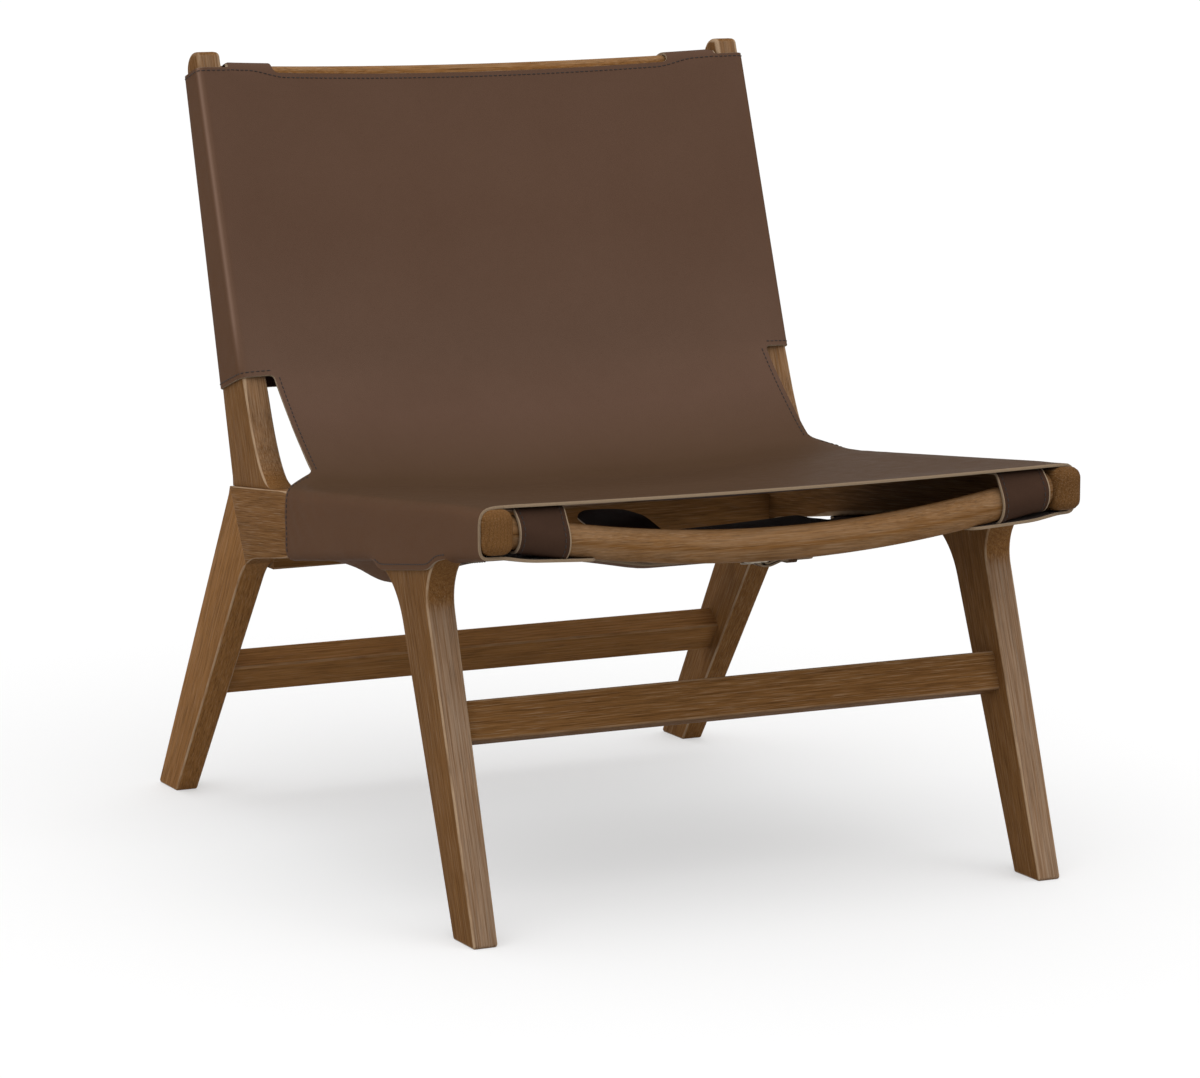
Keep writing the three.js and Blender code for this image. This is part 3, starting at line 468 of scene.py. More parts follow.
class Nodes:
    """A material's nodes, made and linked one after another."""

    MIX_SHARE, MIX_A, MIX_B, MIX_RESULT = 0, 6, 7, 2  # sockets of a mix of two colours

    def __init__(self, name):
        self.material = bpy.data.materials.new(name)
        self.material.use_nodes = True
        self.tree = self.material.node_tree

    def plug(self, node, inputs):
        for key, value in inputs.items():
            if isinstance(value, bpy.types.NodeSocket):
                self.tree.links.new(value, node.inputs[key])
            else:
                node.inputs[key].default_value = value

    def set(self, **inputs):
        shader = self.tree.nodes["Principled BSDF"]
        self.plug(shader, {key.replace("_", " "): value for key, value in inputs.items()})

    def add(self, kind, inputs=None, **settings):
        """The outputs of a new node."""
        node = self.tree.nodes.new("ShaderNode" + kind)
        for key, value in settings.items():
            setattr(node, key, value)
        self.plug(node, inputs or {})
        return node.outputs

    def field(self, name, kind="Fac"):
        return self.add("Attribute", attribute_name=name)[kind]

    def noise(self, vector, scale, detail, roughness=0.55, distortion=0.0):
        """Noise at one scale, or at a scale along each axis."""
        if isinstance(scale, tuple):
            vector = self.add("Mapping", {"Vector": vector, "Scale": scale})[0]
            scale = 1.0
        inputs = {"Vector": vector, "Scale": scale, "Detail": detail}
        inputs.update({"Roughness": roughness, "Distortion": distortion})
        return self.add("TexNoise", inputs)["Fac"]

    def ramp(self, value, *stops):
        """Colours or greys at places between 0 and 1."""
        node = self.tree.nodes.new("ShaderNodeValToRGB")
        self.plug(node, {"Fac": value})
        elements = node.color_ramp.elements
        while len(elements) < len(stops):
            elements.new(0.5)
        for element, (place, colour) in zip(elements, stops):
            element.position = place
            element.color = colour if isinstance(colour, tuple) else (colour, colour, colour, 1)
        return node.outputs["Color"]

    def maths(self, operation, a, b=0.0):
        return self.add("Math", {0: a, 1: b}, operation=operation)[0]

    def times(self, a, b):
        return self.maths("MULTIPLY", a, b)

    def plus(self, a, b):
        return self.maths("ADD", a, b)

    def blend(self, share, a, b, mode="MIX"):
        inputs = {self.MIX_SHARE: share, self.MIX_A: a, self.MIX_B: b}
        return self.add("Mix", inputs, data_type="RGBA", blend_type=mode)[self.MIX_RESULT]

    def shaded(self, colour, by, share=1.0):
        return self.blend(share, colour, by, "MULTIPLY")

    def bump(self, height, distance, strength):
        inputs = {"Height": height, "Distance": distance, "Strength": strength}
        return self.add("Bump", inputs)[0]


def srgb(*values):
    """A colour as a screen shows it, from 0 to 255, in the renderer's scale."""
    shares = [value / 255 for value in values]
    return (*[c / 12.92 if c <= 0.04045 else ((c + 0.055) / 1.055) ** 2.4 for c in shares], 1)


# The wood's patterns in a metre along its grain and across it
WAVER = (2.2, 9.0, 9.0)
FIBRES = (10.0, 700.0, 700.0)
PORES = (30.0, 1500.0, 1500.0)
STAIN = (3.0, 14.0, 14.0)
RUBBING = (16.0, 60.0, 60.0)
RINGS = 260.0
RING_WAVER = 0.03  # how far the rings wander, in metres
RING_SHADE = 0.75
STAIN_SHADE = 0.7
WOOD_TONES = [srgb(110, 74, 39), srgb(124, 86, 48), srgb(138, 100, 60)]
DARK_PORE, DARK_PORE_SHARE = srgb(52, 33, 20), 0.42
PALE_PORE, PALE_PORE_SHARE = srgb(168, 144, 118), 0.24
# The pale grey of the painted sheen on forward faces
SHEEN_GREY = srgb(158, 142, 126)
RUBBED_WOOD, RUBBED_SHARE = srgb(172, 146, 118), 0.8
WOOD_RELIEF = 0.0002
WOOD_GLOSS = 0.02


def wood_material():
    """Stained open-grained wood. Its grain follows the field that each member carries."""
    n = Nodes("stained_wood")
    grain = n.field("grain", "Vector")
    place = n.add("SeparateXYZ", {0: grain})
    across = n.add("CombineXYZ", {1: place[1], 2: place[2]})[0]
    radius = n.add("VectorMath", {0: across}, operation="LENGTH")["Value"]
    warped = n.plus(radius, n.times(n.noise(grain, WAVER, 2.0), RING_WAVER))
    year = n.maths("FRACT", n.times(warped, RINGS))
    fibre = n.noise(grain, FIBRES, 4.0, 0.65)
    pores = n.noise(grain, PORES, 2.0, 0.5)
    dark = n.ramp(pores, (0.35, 1.0), (0.42, 0.0))
    pale = n.ramp(pores, (0.58, 0.0), (0.66, 1.0))
    colour = n.ramp(fibre, *zip((0.3, 0.52, 0.75), WOOD_TONES))
    ring = n.ramp(year, (0.0, 0.8), (0.3, 1.0), (0.8, 1.0), (1.0, 0.8))
    colour = n.shaded(colour, ring, RING_SHADE)
    patch = n.ramp(n.noise(grain, STAIN, 3.0), (0.3, 0.84), (0.7, 1.08))
    colour = n.shaded(colour, patch, STAIN_SHADE)
    colour = n.shaded(colour, n.ramp(n.field("tone"), (0.0, 0.66), (1.0, 1.36)))
    colour = n.blend(n.times(dark, DARK_PORE_SHARE), colour, DARK_PORE)
    colour = n.blend(n.times(pale, PALE_PORE_SHARE), colour, PALE_PORE)
    # Pale grey streaks along the fibres on forward faces: the grain's pale pores, and a painted sheen
    # where the light from the front catches them
    streaks = n.ramp(fibre, (0.36, 0.2), (0.62, 0.75))
    colour = n.blend(n.times(n.field("painted_sheen"), streaks), colour, SHEEN_GREY)
    rubbed = n.ramp(n.noise(grain, RUBBING, 4.0, 0.7), (0.36, 0.2), (0.6, 1.0))
    worn = n.times(n.times(n.field("wear"), rubbed), RUBBED_SHARE)
    colour = n.blend(worn, colour, RUBBED_WOOD)
    relief = n.plus(n.times(dark, -1.0), n.times(fibre, 0.5))
    n.set(Base_Color=colour, Roughness=n.ramp(pores, (0.3, 0.72), (0.6, 0.5)))
    n.set(Normal=n.bump(relief, WOOD_RELIEF, 0.7), Specular_IOR_Level=WOOD_GLOSS)
    return n.material


CLOUDS = 6.5  # patterns in a metre of leather
FLECKS = 60.0
HIDE_GLOSS = 0.012


def hide_material(name, tones, roughness, pebbles, relief, sheen=0.0, painted_light=False):
    """Leather. Its grain lies on the sheet as it was cut."""
    n = Nodes(name)
    flat = n.field("flat", "Vector")
    cloud = n.noise(flat, CLOUDS, 4.0, 0.6, 0.4)
    fleck = n.noise(flat, FLECKS, 4.0, 0.65)
    cells = n.add("TexVoronoi", {"Vector": flat, "Scale": pebbles}, feature="DISTANCE_TO_EDGE")
    pebble_crease = n.ramp(cells["Distance"], (0.0, 0.0), (0.16, 1.0))
    tone = n.plus(n.times(cloud, 0.7), n.times(fleck, 0.3))
    colour = n.ramp(tone, *zip((0.3, 0.5, 0.7), [srgb(*shown) for shown in tones]))
    # Only the sling's grain side takes the painted shade, tint and highlight
    if painted_light:
        colour = sling_colour(n, flat, colour)
    # The pebbles' creases come out darker: the finish that gathers in them, and painted shade in those
    # small hollows
    colour = n.shaded(colour, n.ramp(pebble_crease, (0.0, 0.86), (0.5, 1.0)), 0.8)
    spread = n.ramp(fleck, (0.3, roughness - 0.05), (0.7, roughness + 0.07))
    height = n.plus(pebble_crease, n.times(fleck, 0.8))
    n.set(Base_Color=colour, Roughness=spread, Normal=n.bump(height, relief, 0.6))
    n.set(Sheen_Weight=sheen, Sheen_Roughness=0.5, Specular_IOR_Level=HIDE_GLOSS)
    return n.material


# Painted shade along the sling's length, in metres from the front edge: the share of its colour that
# each place keeps, darkest on the seat, which faces up, and a little darker again towards the top of
# the back
SLING_PAINTED_SHADE = [
    (0.46, (0.7, 0.68, 0.57, 1)),
    (0.57, (0.97, 0.95, 0.95, 1)),
    (0.64, WHITE),
    (0.78, (0.9, 0.86, 0.83, 1)),
]
# A painted tint on the wings, deeper and warmer, set against the grey reflection that their sides catch
WING_PAINTED_TINT = (1.0, 0.88, 0.72, 1)
WING_TINT_SPAN = (-8, 6)  # about the fold
FOLD_HIGHLIGHT_COLOUR = srgb(150, 122, 106)  # a painted highlight: the pale line where the light catches the back's left fold round the post
FOLD_SHIFT = -1.5  # from the fold to the middle of that highlight
FOLD_WIDTH = 5
FOLD_HIGHLIGHT_SHARE = 0.52
FOLD_RISE = 60  # how far above the notch the highlight is in full


def sling_colour(n, flat, colour):
    """The sling's colour with painted light: shade on the seat, a tint on its wings and a highlight
    along the back's left fold.
    """
    s, t, _ = n.add("SeparateXYZ", {0: flat})
    # Painted shade along the sling, and a painted tint on its wings past the fold
    fold = [((t_fold + end) * MM, share) for end, share in zip(WING_TINT_SPAN, (0.0, 1.0))]
    winged = n.ramp(n.maths("ABSOLUTE", t), *fold)
    colour = n.shaded(colour, n.blend(winged, n.ramp(s, *SLING_PAINTED_SHADE), WING_PAINTED_TINT))
    # A painted highlight along the back's left fold only, where the light catches the rounded leather
    off_fold = n.maths("ABSOLUTE", n.plus(t, (t_fold - FOLD_SHIFT) * MM))
    painted_highlight = n.ramp(off_fold, (0.0, FOLD_HIGHLIGHT_SHARE), (FOLD_WIDTH * MM, 0.0))
    on_back = n.ramp(s, (s_high * MM, 0.0), ((s_high + FOLD_RISE) * MM, 1.0))
    return n.blend(n.times(painted_highlight, on_back), colour, FOLD_HIGHLIGHT_COLOUR)


# Patterns in a metre of metal and of thread, and how high they stand, in metres
METAL_CLOUDS = 160.0
METAL_TONES = [srgb(128, 118, 104), srgb(164, 154, 138)]
SCRATCHES = (300.0, 2600.0, 2600.0)
SCRATCH_RELIEF = 0.00004
TWISTS = 900.0
TWIST_RELIEF = 0.0001
THREAD_TONES = [srgb(26, 17, 13), srgb(42, 29, 23)]


def metal_material():
    """Dull plated steel with fine scratches."""
    n = Nodes("plated_steel")
    place = n.add("TexCoord")["Object"]
    scratch = n.noise(place, SCRATCHES, 2.0)
    colour = n.ramp(n.noise(place, METAL_CLOUDS, 3.0), *zip((0.35, 0.65), METAL_TONES))
    n.set(Base_Color=colour, Roughness=n.ramp(scratch, (0.3, 0.28), (0.7, 0.46)), Metallic=1.0)
    n.set(Normal=n.bump(scratch, SCRATCH_RELIEF, 0.5))
    return n.material


def thread_material():
    """Dark waxed thread, twisted."""
    n = Nodes("thread")
    twist = n.noise(n.add("TexCoord")["Object"], TWISTS, 2.0)
    n.set(Base_Color=n.ramp(twist, *zip((0.3, 0.7), THREAD_TONES)))
    n.set(Roughness=0.7, Normal=n.bump(twist, TWIST_RELIEF, 0.6))
    return n.material


def floor_material():
    """A white studio floor that keeps the chair's shadow."""
    n = Nodes("floor")
    path = n.add("LightPath")
    seen = n.maths("MAXIMUM", path["Is Camera Ray"], path["Is Glossy Ray"])
    seen = n.maths("MAXIMUM", seen, path["Is Transmission Ray"])
    n.set(Base_Color=FLOOR_COLOUR, Roughness=0.9, Specular_IOR_Level=0.0)
    n.set(Emission_Color=WHITE, Emission_Strength=n.times(seen, FLOOR_GLOW))
    return n.material


wood = wood_material()
metal = metal_material()
thread = thread_material()


# Wood

# How light each member's colour is, from 0 to 1: the stain's own spread between members, with painted
# light that makes the rear stretcher, in shade under the seat, and the left rear leg lighter
TONES = {
    "side_rail_left": 0.45, "side_rail_right": 0.3, "front_leg_left": 0.38, "front_leg_right": 0.46,
    "rear_leg_left": 1.0, "rear_leg_right": 0.45, "back_post_left": 0.36, "back_post_right": 0.45,
    "front_seat_rail": 0.5, "rear_seat_rail": 0.45, "top_back_rail": 0.65,
    "front_stretcher": 0.2, "rear_stretcher": 1.0,
}
END_GRAIN_SHADE = 0.35  # how much darker the side rails' front ends are
END_GRAIN_SPAN = (14, 3)
LEG_SHEEN = 0.64  # how far a painted sheen greys the front legs' forward faces
LEG_SHEEN_SPAN = (14, -6)
# the same painted sheen on the posts' forward faces
POST_SHEEN = 0.3
SHEEN_FACING = (0.6, 0.9)  # how far a face has to look forward to take the painted sheen
WORN_EDGE = 0.35  # share of a rounded edge's turn over which its wear fades in
BEAM_WEAR = 0.4
ROUND_BEAM_WEAR = 0.25
RAIL_WEAR_SPAN = (25, 60)
ASKEW = at(0.31, 0.17, 0.93)  # a direction that no member runs in
PITH = [(0, 900), (45, 90), (20, 60)]  # how far a tree's middle may lie from a member's


def wood_piece(name, points, faces, wear, direction, mirrored=False, painted_sheen=0.0):
    """A wooden member whose grain runs in a direction."""
    along = unit(at(*direction))
    side = unit(np.cross(along, ASKEW))
    local = points - points.mean(axis=0)
    pith = at(*[random.uniform(*reach) for reach in PITH])
    grain = (local @ np.stack([along, side, np.cross(along, side)], axis=1) + pith) * MM
    if mirrored:
        points = points * at(-1, 1, 1)
        faces = [tuple(reversed(face)) for face in faces]
    tone = TONES[name] - END_GRAIN_SHADE * fade(points[:, 1], rail_front, END_GRAIN_SPAN)
    fields = {"grain": grain, "wear": wear, "tone": tone, "painted_sheen": np.zeros(len(points)) + painted_sheen}
    piece = mesh_object("wood_" + name, points, faces, [wood], None, fields)
    return dress(piece, nodes=[name])


def inset(outline, amounts):
    """The outline moved inwards by an amount at each of its points."""
    before = left_of(unit(outline - np.roll(outline, 1, axis=0)))
    after = left_of(unit(np.roll(outline, -1, axis=0) - outline))
    middle = unit(before + after)
    reach = np.maximum(np.sum(middle * after, axis=1), SHARPEST)
    return outline + middle * (amounts / reach)[:, None]


def slab(name, outline, inner, outer, arris, direction, spared=None, front_sheen=None):
    """A flat member for each side, cut from an outline with its edges rounded."""
    outline = dense(outline[::-1] if loop_area(outline) < 0 else outline, OUTLINE_STEP)
    radius = arris(outline)
    ahead = unit(np.roll(outline, -1, axis=0) - np.roll(outline, 1, axis=0))
    # Painted sheen on faces that look forward, towards the light
    facing = smoothstep(*SHEEN_FACING, -ahead[:, 1]) * (front_sheen(outline) if front_sheen else 0)
    angles = np.linspace(0, math.pi / 2, ARRIS_STEPS + 1)
    rings, wear, painted_sheen = [], [], []
    for face, sign, turns in ((inner, 1, angles), (outer, -1, angles[::-1])):
        for angle in turns:
            x = face(outline[:, 1]) + sign * radius * (1 - math.cos(angle))
            rings.append(placed(x, inset(outline, radius * (1 - math.sin(angle)))))
            rubbed = smoothstep(0, WORN_EDGE, math.sin(2 * angle))
            wear.append(np.full(len(outline), rubbed) * (spared(outline) if spared else 1))
            painted_sheen.append(facing * math.sin(angle) ** 2)
    faces = tube_faces(len(rings), len(outline))
    points, wear, painted_sheen = np.vstack(rings), np.concatenate(wear), np.concatenate(painted_sheen)
    for side in ("right", "left"):
        wood_piece(f"{name}_{side}", points, faces, wear, (0, *direction), side == "left", painted_sheen)


def level(value):
    return lambda z: np.full_like(z, value)


def leg_inner(z):
    return HALF - mix(FOOT_THICKNESS, MEMBER, z / RAIL_CORNER_HEIGHT)


def foot_corner(before, corner, after):
    return fillet(before, corner, after, FOOT_CORNER, FOOT_CORNER_STEPS)


def seamed(radius, points, joint, limits=SEAM_ARRIS):
    """A rounding that gets smaller towards a joint, whose faces stay whole."""
    return np.minimum(radius, limits[0] + limits[1] * line_distance(points, *joint))


def make_side_rails():
    end_top, end_radius = rail_top(rail_front), RAIL_END_ARRIS + 1
    outline = np.vstack([
        [rail_corner],
        fillet(rail_corner, end_top, under_front, end_radius),
        fillet(end_top, under_front, under_rear, end_radius),
        rear_leg_arc[:ARC_STEPS // 2 - 1:-1],
    ])

    def arris(points):
        covered = fade(points[:, 0], seat_rear, RAIL_COVERED_SPAN)
        radius = mix(RAIL_ARRIS, RAIL_COVERED_ARRIS, covered)
        radius = mix(radius, RAIL_END_ARRIS, fade(points[:, 0], rail_front, RAIL_END_SPAN))
        return seamed(radius, points, (seam_low, rail_corner), RAIL_SEAM_ARRIS)

    def spared(points):
        return fade(points[:, 0], rail_front, RAIL_WEAR_SPAN)

    run = rail_top(0) - rail_top(1)
    slab("side_rail", outline, level(inner_face), level(HALF), arris, run, spared)


def make_front_legs():
    joint = at(0, CLEARANCE)
    outline = np.vstack([
        foot_corner(front_foot_front, front_foot_rear, front_leg_rear),
        rear_flare - joint,
        front_flare[::-1] - joint,
        foot_corner(front_leg_front, front_foot_front, front_foot_rear),
    ])

    def arris(points):
        return seamed(ARRIS, points, (under_front, under_rear))

    def front_sheen(points):
        return LEG_SHEEN * fade(points[:, 1], front_flare[0][1], LEG_SHEEN_SPAN)

    run = front_leg_front - front_foot_front
    slab("front_leg", outline, leg_inner, level(HALF), arris, run, front_sheen=front_sheen)


def make_rear_legs():
    off = -left_of(unit(rail_corner - seam_low)) * CLEARANCE
    outline = np.vstack([
        foot_corner(rear_foot_front, rear_foot_rear, rail_corner),
        [rail_corner + off],
        [seam_low + off],
        rear_leg_arc[:ARC_STEPS // 2][::-1],
        foot_corner(under_rear, rear_foot_front, rear_foot_rear),
    ])

    def arris(points):
        return seamed(ARRIS, points, (seam_low, rail_corner))

    slab("rear_leg", outline, leg_inner, level(HALF), arris, rail_corner - rear_foot_rear)


def make_posts():
    joint = at(0, CLEARANCE)
    flare_end = rail_top(post_front_foot[0] - POST_FLARE_OUT)
    flare_top = post_front(post_front_foot[1] + POST_FLARE_UP)
    share = np.linspace(0, 1, ARC_STEPS + 1)[:, None]
    flare = mix(mix(flare_end, post_front_foot, share), mix(post_front_foot, flare_top, share), share)
    rear_top = post_rear(POST_HEIGHT)
    outline = np.vstack([
        [rail_corner + joint],
        flare + joint,
        fillet(flare_top, post_front_top, rear_top, POST_FRONT_RADIUS),
        fillet(post_front_top, rear_top, rail_corner, POST_REAR_RADIUS),
    ])

    def arris(points):
        covered = fade(points[:, 1], notch_high[1], POST_COVERED_SPAN)
        return seamed(mix(ARRIS, POST_COVERED_ARRIS, covered), points, (flare_end, rail_corner))

    def front_sheen(points):
        return np.full(len(points), POST_SHEEN)

    faces = level(post_inner), level(post_outer)
    slab("back_post", outline, *faces, arris, post_run, front_sheen=front_sheen)


def beam(name, stations, depth, height, radius, lean=0.0, wear=BEAM_WEAR):
    """A member across the chair, through places of its middle, with its edges rounded."""
    shares = np.linspace(0, 1, ARRIS_STEPS * 2 + 1)
    ring = []
    for turn, (side, rise) in enumerate([(1, 1), (-1, 1), (-1, -1), (1, -1)]):
        corner = at(side * (depth / 2 - radius), rise * (height / 2 - radius))
        ring.append(circle(corner, radius, (turn + shares) * math.pi / 2))
    ahead = at(math.cos(lean), math.sin(lean))
    ring = np.vstack(ring) @ np.stack([ahead, left_of(ahead)])
    rings = [placed(x, centre + ring) for x, centre in stations]
    rubbed = smoothstep(0, WORN_EDGE, np.sin(math.pi * shares)) * wear
    worn = np.tile(rubbed, len(ring) // len(shares) * len(rings))
    wood_piece(name, np.vstack(rings), tube_faces(len(rings), len(ring)), worn, (1, 0, 0))


def straight(x, centre):
    return [(-x, centre), (0, centre), (x, centre)]


def make_stretcher(name, height, high, feet, edge):
    """A stretcher at a height on the legs' middle line, leaning as an edge of theirs does."""
    centre = mix((feet[0] + feet[1]) / 2, high, height / high[1])
    run = edge[1] - edge[0]
    lean = math.atan2(run[1], run[0]) - math.pi / 2
    beam(name, straight(leg_inner(height), centre), STRETCHER_DEPTH, STRETCHER_HEIGHT, ARRIS, lean)


def make_cross_members():
    spread = np.linspace(-1, 1, BEAM_STATIONS)
    bar = [(x, bar_centre(x)) for x in spread * inner_face]
    radius = BAR_DIAMETER / 2 - CLEARANCE
    beam("front_seat_rail", bar, BAR_DIAMETER, BAR_DIAMETER, radius, wear=ROUND_BEAM_WEAR)
    top = [(x, top_rail_centre(x)) for x in spread * post_inner]
    size = (TOP_RAIL_DEPTH, TOP_RAIL_HEIGHT, TOP_RAIL_ARRIS)
    beam("top_back_rail", top, *size, -post_lean, ROUND_BEAM_WEAR)
    make_stretcher("front_stretcher", FRONT_STRETCHER_LEVEL, (front_leg_front + front_leg_rear) / 2,
                   (front_foot_front, front_foot_rear), (front_foot_rear, front_leg_rear))
    make_stretcher("rear_stretcher", REAR_STRETCHER_LEVEL, (under_rear + rail_corner) / 2,
                   (rear_foot_front, rear_foot_rear), (rear_foot_front, under_rear))
    share = (REAR_RAIL_LEVEL - seam_low[1]) / (rail_corner[1] - seam_low[1])
    centre = at(mix(seam_low[0], rail_corner[0], share), REAR_RAIL_LEVEL)
    beam("rear_seat_rail", straight(inner_face, centre), REAR_RAIL_DEPTH, REAR_RAIL_HEIGHT, ARRIS)


# Leather sheets

GRAIN_SIDE, FLESH_SIDE, RAW_EDGE = 0, 1, 2
EDGE_BULGE = 0.2  # share of the leather's thickness
FLESH_SHIFT = 5000  # where the flesh side and the edge lie in the leather's pattern
EDGE_SHIFT = 2500
HIDE_CREASE = 50
NORMAL_STEP = 0.5
LAST_CELL = 1.001  # keeps a place just inside a grid
SAME_PLACE = 1e-6  # how close two points of a flat cut are when they count as one


def square_to(point, u, v, step):
    """Directions square to a surface that is read by a function."""
    along = point(u + step, v) - point(u - step, v)
    across = point(u, v + step) - point(u, v - step)
    return unit(np.cross(across, along))


class Surface:
    """The middle of a sheet on a grid of points, read at any place of the flat cut."""

    def __init__(self, u, v, grid, thickness):
        self.u, self.v, self.grid, self.thickness = u, v, grid, thickness

    def point(self, u, v):
        row = np.clip(np.interp(u, self.u, np.arange(len(self.u))), 0, len(self.u) - LAST_CELL)
        column = np.clip(np.interp(v, self.v, np.arange(len(self.v))), 0, len(self.v) - LAST_CELL)
        i, j = row.astype(int), column.astype(int)
        a, b = (row - i)[:, None], (column - j)[:, None]
        low = mix(self.grid[i, j], self.grid[i, j + 1], b)
        return mix(low, mix(self.grid[i + 1, j], self.grid[i + 1, j + 1], b), a)

    def normal(self, u, v):
        return square_to(self.point, u, v, NORMAL_STEP)


def blurred(grid, axis, reach=2, times=1):
    """The grid averaged over neighbours along an axis, which rounds its corners."""
    pad = [(0, 0)] * grid.ndim
    pad[axis] = (reach, reach)
    count = grid.shape[axis]
    for _ in range(times):
        padded = np.pad(grid, pad, mode="edge")
        parts = [np.take(padded, range(k, k + count), axis) for k in range(2 * reach + 1)]
        grid = sum(parts) / len(parts)
    return grid


def inside(points, loops):
    """Which points lie inside the loops, with loops in loops as holes."""
    crossed = np.zeros(len(points), int)
    for loop in loops:
        for a, b in zip(loop, np.roll(loop, -1, axis=0)):
            if a[1] == b[1]:
                continue
            spans = (points[:, 1] >= min(a[1], b[1])) & (points[:, 1] < max(a[1], b[1]))
            place = a[0] + (points[:, 1] - a[1]) * (b[0] - a[0]) / (b[1] - a[1])
            crossed += spans & (points[:, 0] < place)
    return crossed % 2 == 1


def flat_mesh(loops, rows, columns, margin, bevel):
    """Triangles over a flat cut, on a grid of places inside its loops."""
    outline = np.vstack([*loops, *bevel])
    tree = KDTree(len(outline))
    for i, place in enumerate(outline):
        tree.insert((*place, 0), i)
    tree.balance()
    grid = np.array([(u, v) for u in rows for v in columns])
    grid = grid[inside(grid, loops)]
    free = [place for place in grid if tree.find((*place, 0))[2] > margin]
    places = [Vector(place) for place in [*outline, *free]]
    edges, first = [], 0
    for loop in [*loops, *bevel]:
        count = len(loop)
        edges.extend((first + i, first + (i + 1) % count) for i in range(count))
        first += count
    found = delaunay_2d_cdt(places, edges, [], 0, SAME_PLACE)
    flat = np.array([tuple(place) for place in found[0]])
    triangles = np.array(found[2])
    return flat, triangles[inside(flat[triangles].mean(axis=1), loops)]


def leather_piece(name, loops, surface, rows, columns, margin, materials=None, bevel=()):
    """A closed sheet of even thickness: grain side, flesh side and raw edge."""
    flat, triangles = flat_mesh(loops, rows, columns, margin, bevel)
    used, triangles = np.unique(triangles, return_inverse=True)
    flat, triangles = flat[used], triangles.reshape(-1, 3)
    corners = flat[triangles]
    wrong = cross(corners[:, 1] - corners[:, 0], corners[:, 2] - corners[:, 0]) > 0
    triangles[wrong] = triangles[wrong][:, ::-1]
    middle, normal = surface.point(*flat.T), surface.normal(*flat.T)
    sides = np.vstack([triangles[:, [0, 1]], triangles[:, [1, 2]], triangles[:, [2, 0]]])
    either_way = np.sort(sides, axis=1)
    _, place, uses = np.unique(either_way, axis=0, return_index=True, return_counts=True)
    rim = sides[place[uses == 1]]
    run = unit(middle[rim[:, 1]] - middle[rim[:, 0]])
    outward = np.zeros_like(middle)
    for end in rim.T:
        np.add.at(outward, end, np.cross(run, normal[end]))
    edge = np.unique(rim)
    bulge = unit(outward[edge]) * surface.thickness * EDGE_BULGE
    half = normal * surface.thickness / 2
    points = np.vstack([middle + half, middle - half, middle[edge] + bulge])
    count = len(flat)
    number = np.full(count, -1)
    number[edge] = np.arange(len(edge)) + 2 * count
    faces = [tuple(t) for t in triangles]
    faces += [tuple(t[::-1] + count) for t in triangles]
    for a, b in rim:
        faces.append((b, a, number[a], number[b]))
        faces.append((number[b], number[a], a + count, b + count))
    indices = np.full(len(faces), RAW_EDGE)
    indices[:len(triangles)] = GRAIN_SIDE
    indices[len(triangles):2 * len(triangles)] = FLESH_SIDE
    if bevel:
        indices[:len(triangles)][~inside(corners.mean(axis=1), bevel)] = RAW_EDGE
    places = np.vstack([flat, flat + FLESH_SHIFT, flat[edge] + EDGE_SHIFT]) * MM
    fields = {"flat": placed(0, places)[:, [1, 2, 0]]}
    materials = materials or HIDE_MATERIALS
    piece = mesh_object("hide_" + name, points, faces, materials, indices, fields, HIDE_CREASE)
    return dress(piece, nodes=[name])


def sewing(name, lines, surface):
    """Stitches along lines of the flat cut, each a short rounded length of thread."""
    angles = 2 * math.pi * np.arange(STITCH_SIDES) / STITCH_SIDES
    points, faces = [], []
    for line in lines:
        line = dense(np.array(line, float), STITCH_STEP, closed=False)
        normal = surface.normal(*line.T)
        path = surface.point(*line.T) + normal * (surface.thickness / 2)
        run = distances(path)
        for start in np.arange(STITCH_PITCH / 2, run[-1] - STITCH_PITCH, STITCH_PITCH):
            out = unit(read(start, run, normal))
            ahead = unit(read(start + STITCH_LENGTH, run, path) - read(start, run, path))
            spokes = np.outer(np.cos(angles), np.cross(out, ahead)) + np.outer(np.sin(angles), out)
            first = len(points)
            for share, width, rise in STITCH_SHAPE:
                centre = read(start + share * STITCH_LENGTH, run, path) + out * THREAD * rise
                points.extend(centre + spokes * THREAD * width)
            stitch = tube_faces(len(STITCH_SHAPE), STITCH_SIDES)
            faces += [tuple(first + i for i in face) for face in stitch]
    piece = mesh_object("thread_" + name, np.array(points), faces, [thread])
    return dress(piece, "chair")


# The sling's flat cut runs along s from its front edge and along t out from its middle

SLING_BEND_STEPS = 40
FRONT_SAG_REACH = 110
EDGE_LIFT_REACH = 90
FLAP_LEAD = 45  # from the flaps' front edge to their second row of drops
APRON_SPAN = (-4, 8)
FRONT_SLACK_SPAN = (70, 10)
SIDE_NOMINAL = 60  # the flat cut's wing between its two folds
HOLE_HEM = 12
FLAP_EXTRA = LOBE + 20
TOP_TAB_LAP = 4  # how much longer the top tabs are than the top rail's depth and height
TOP_TAB_SPARE = 30  # the same for the surface that they are cut from
TOP_TAB_FOOT = 20  # how far below the top rail that surface's line ends

seat_wing_x = HALF + LEATHER_OFF
back_wing_x = post_outer + LEATHER_OFF
sling_front = rail_front + SLING_FRONT_SETBACK
back_top = POST_HEIGHT - TOP_EDGE_DROP
back_front_off = at(-math.cos(post_front_lean), math.sin(post_front_lean))
back_rear_off = at(math.cos(POST_REAR_LEAN), -math.sin(POST_REAR_LEAN))


def seat_mid(y):
    return rail_top(y) + at(0, LEATHER_OFF)


def back_mid(z):
    return post_front(z) + back_front_off * LEATHER_OFF


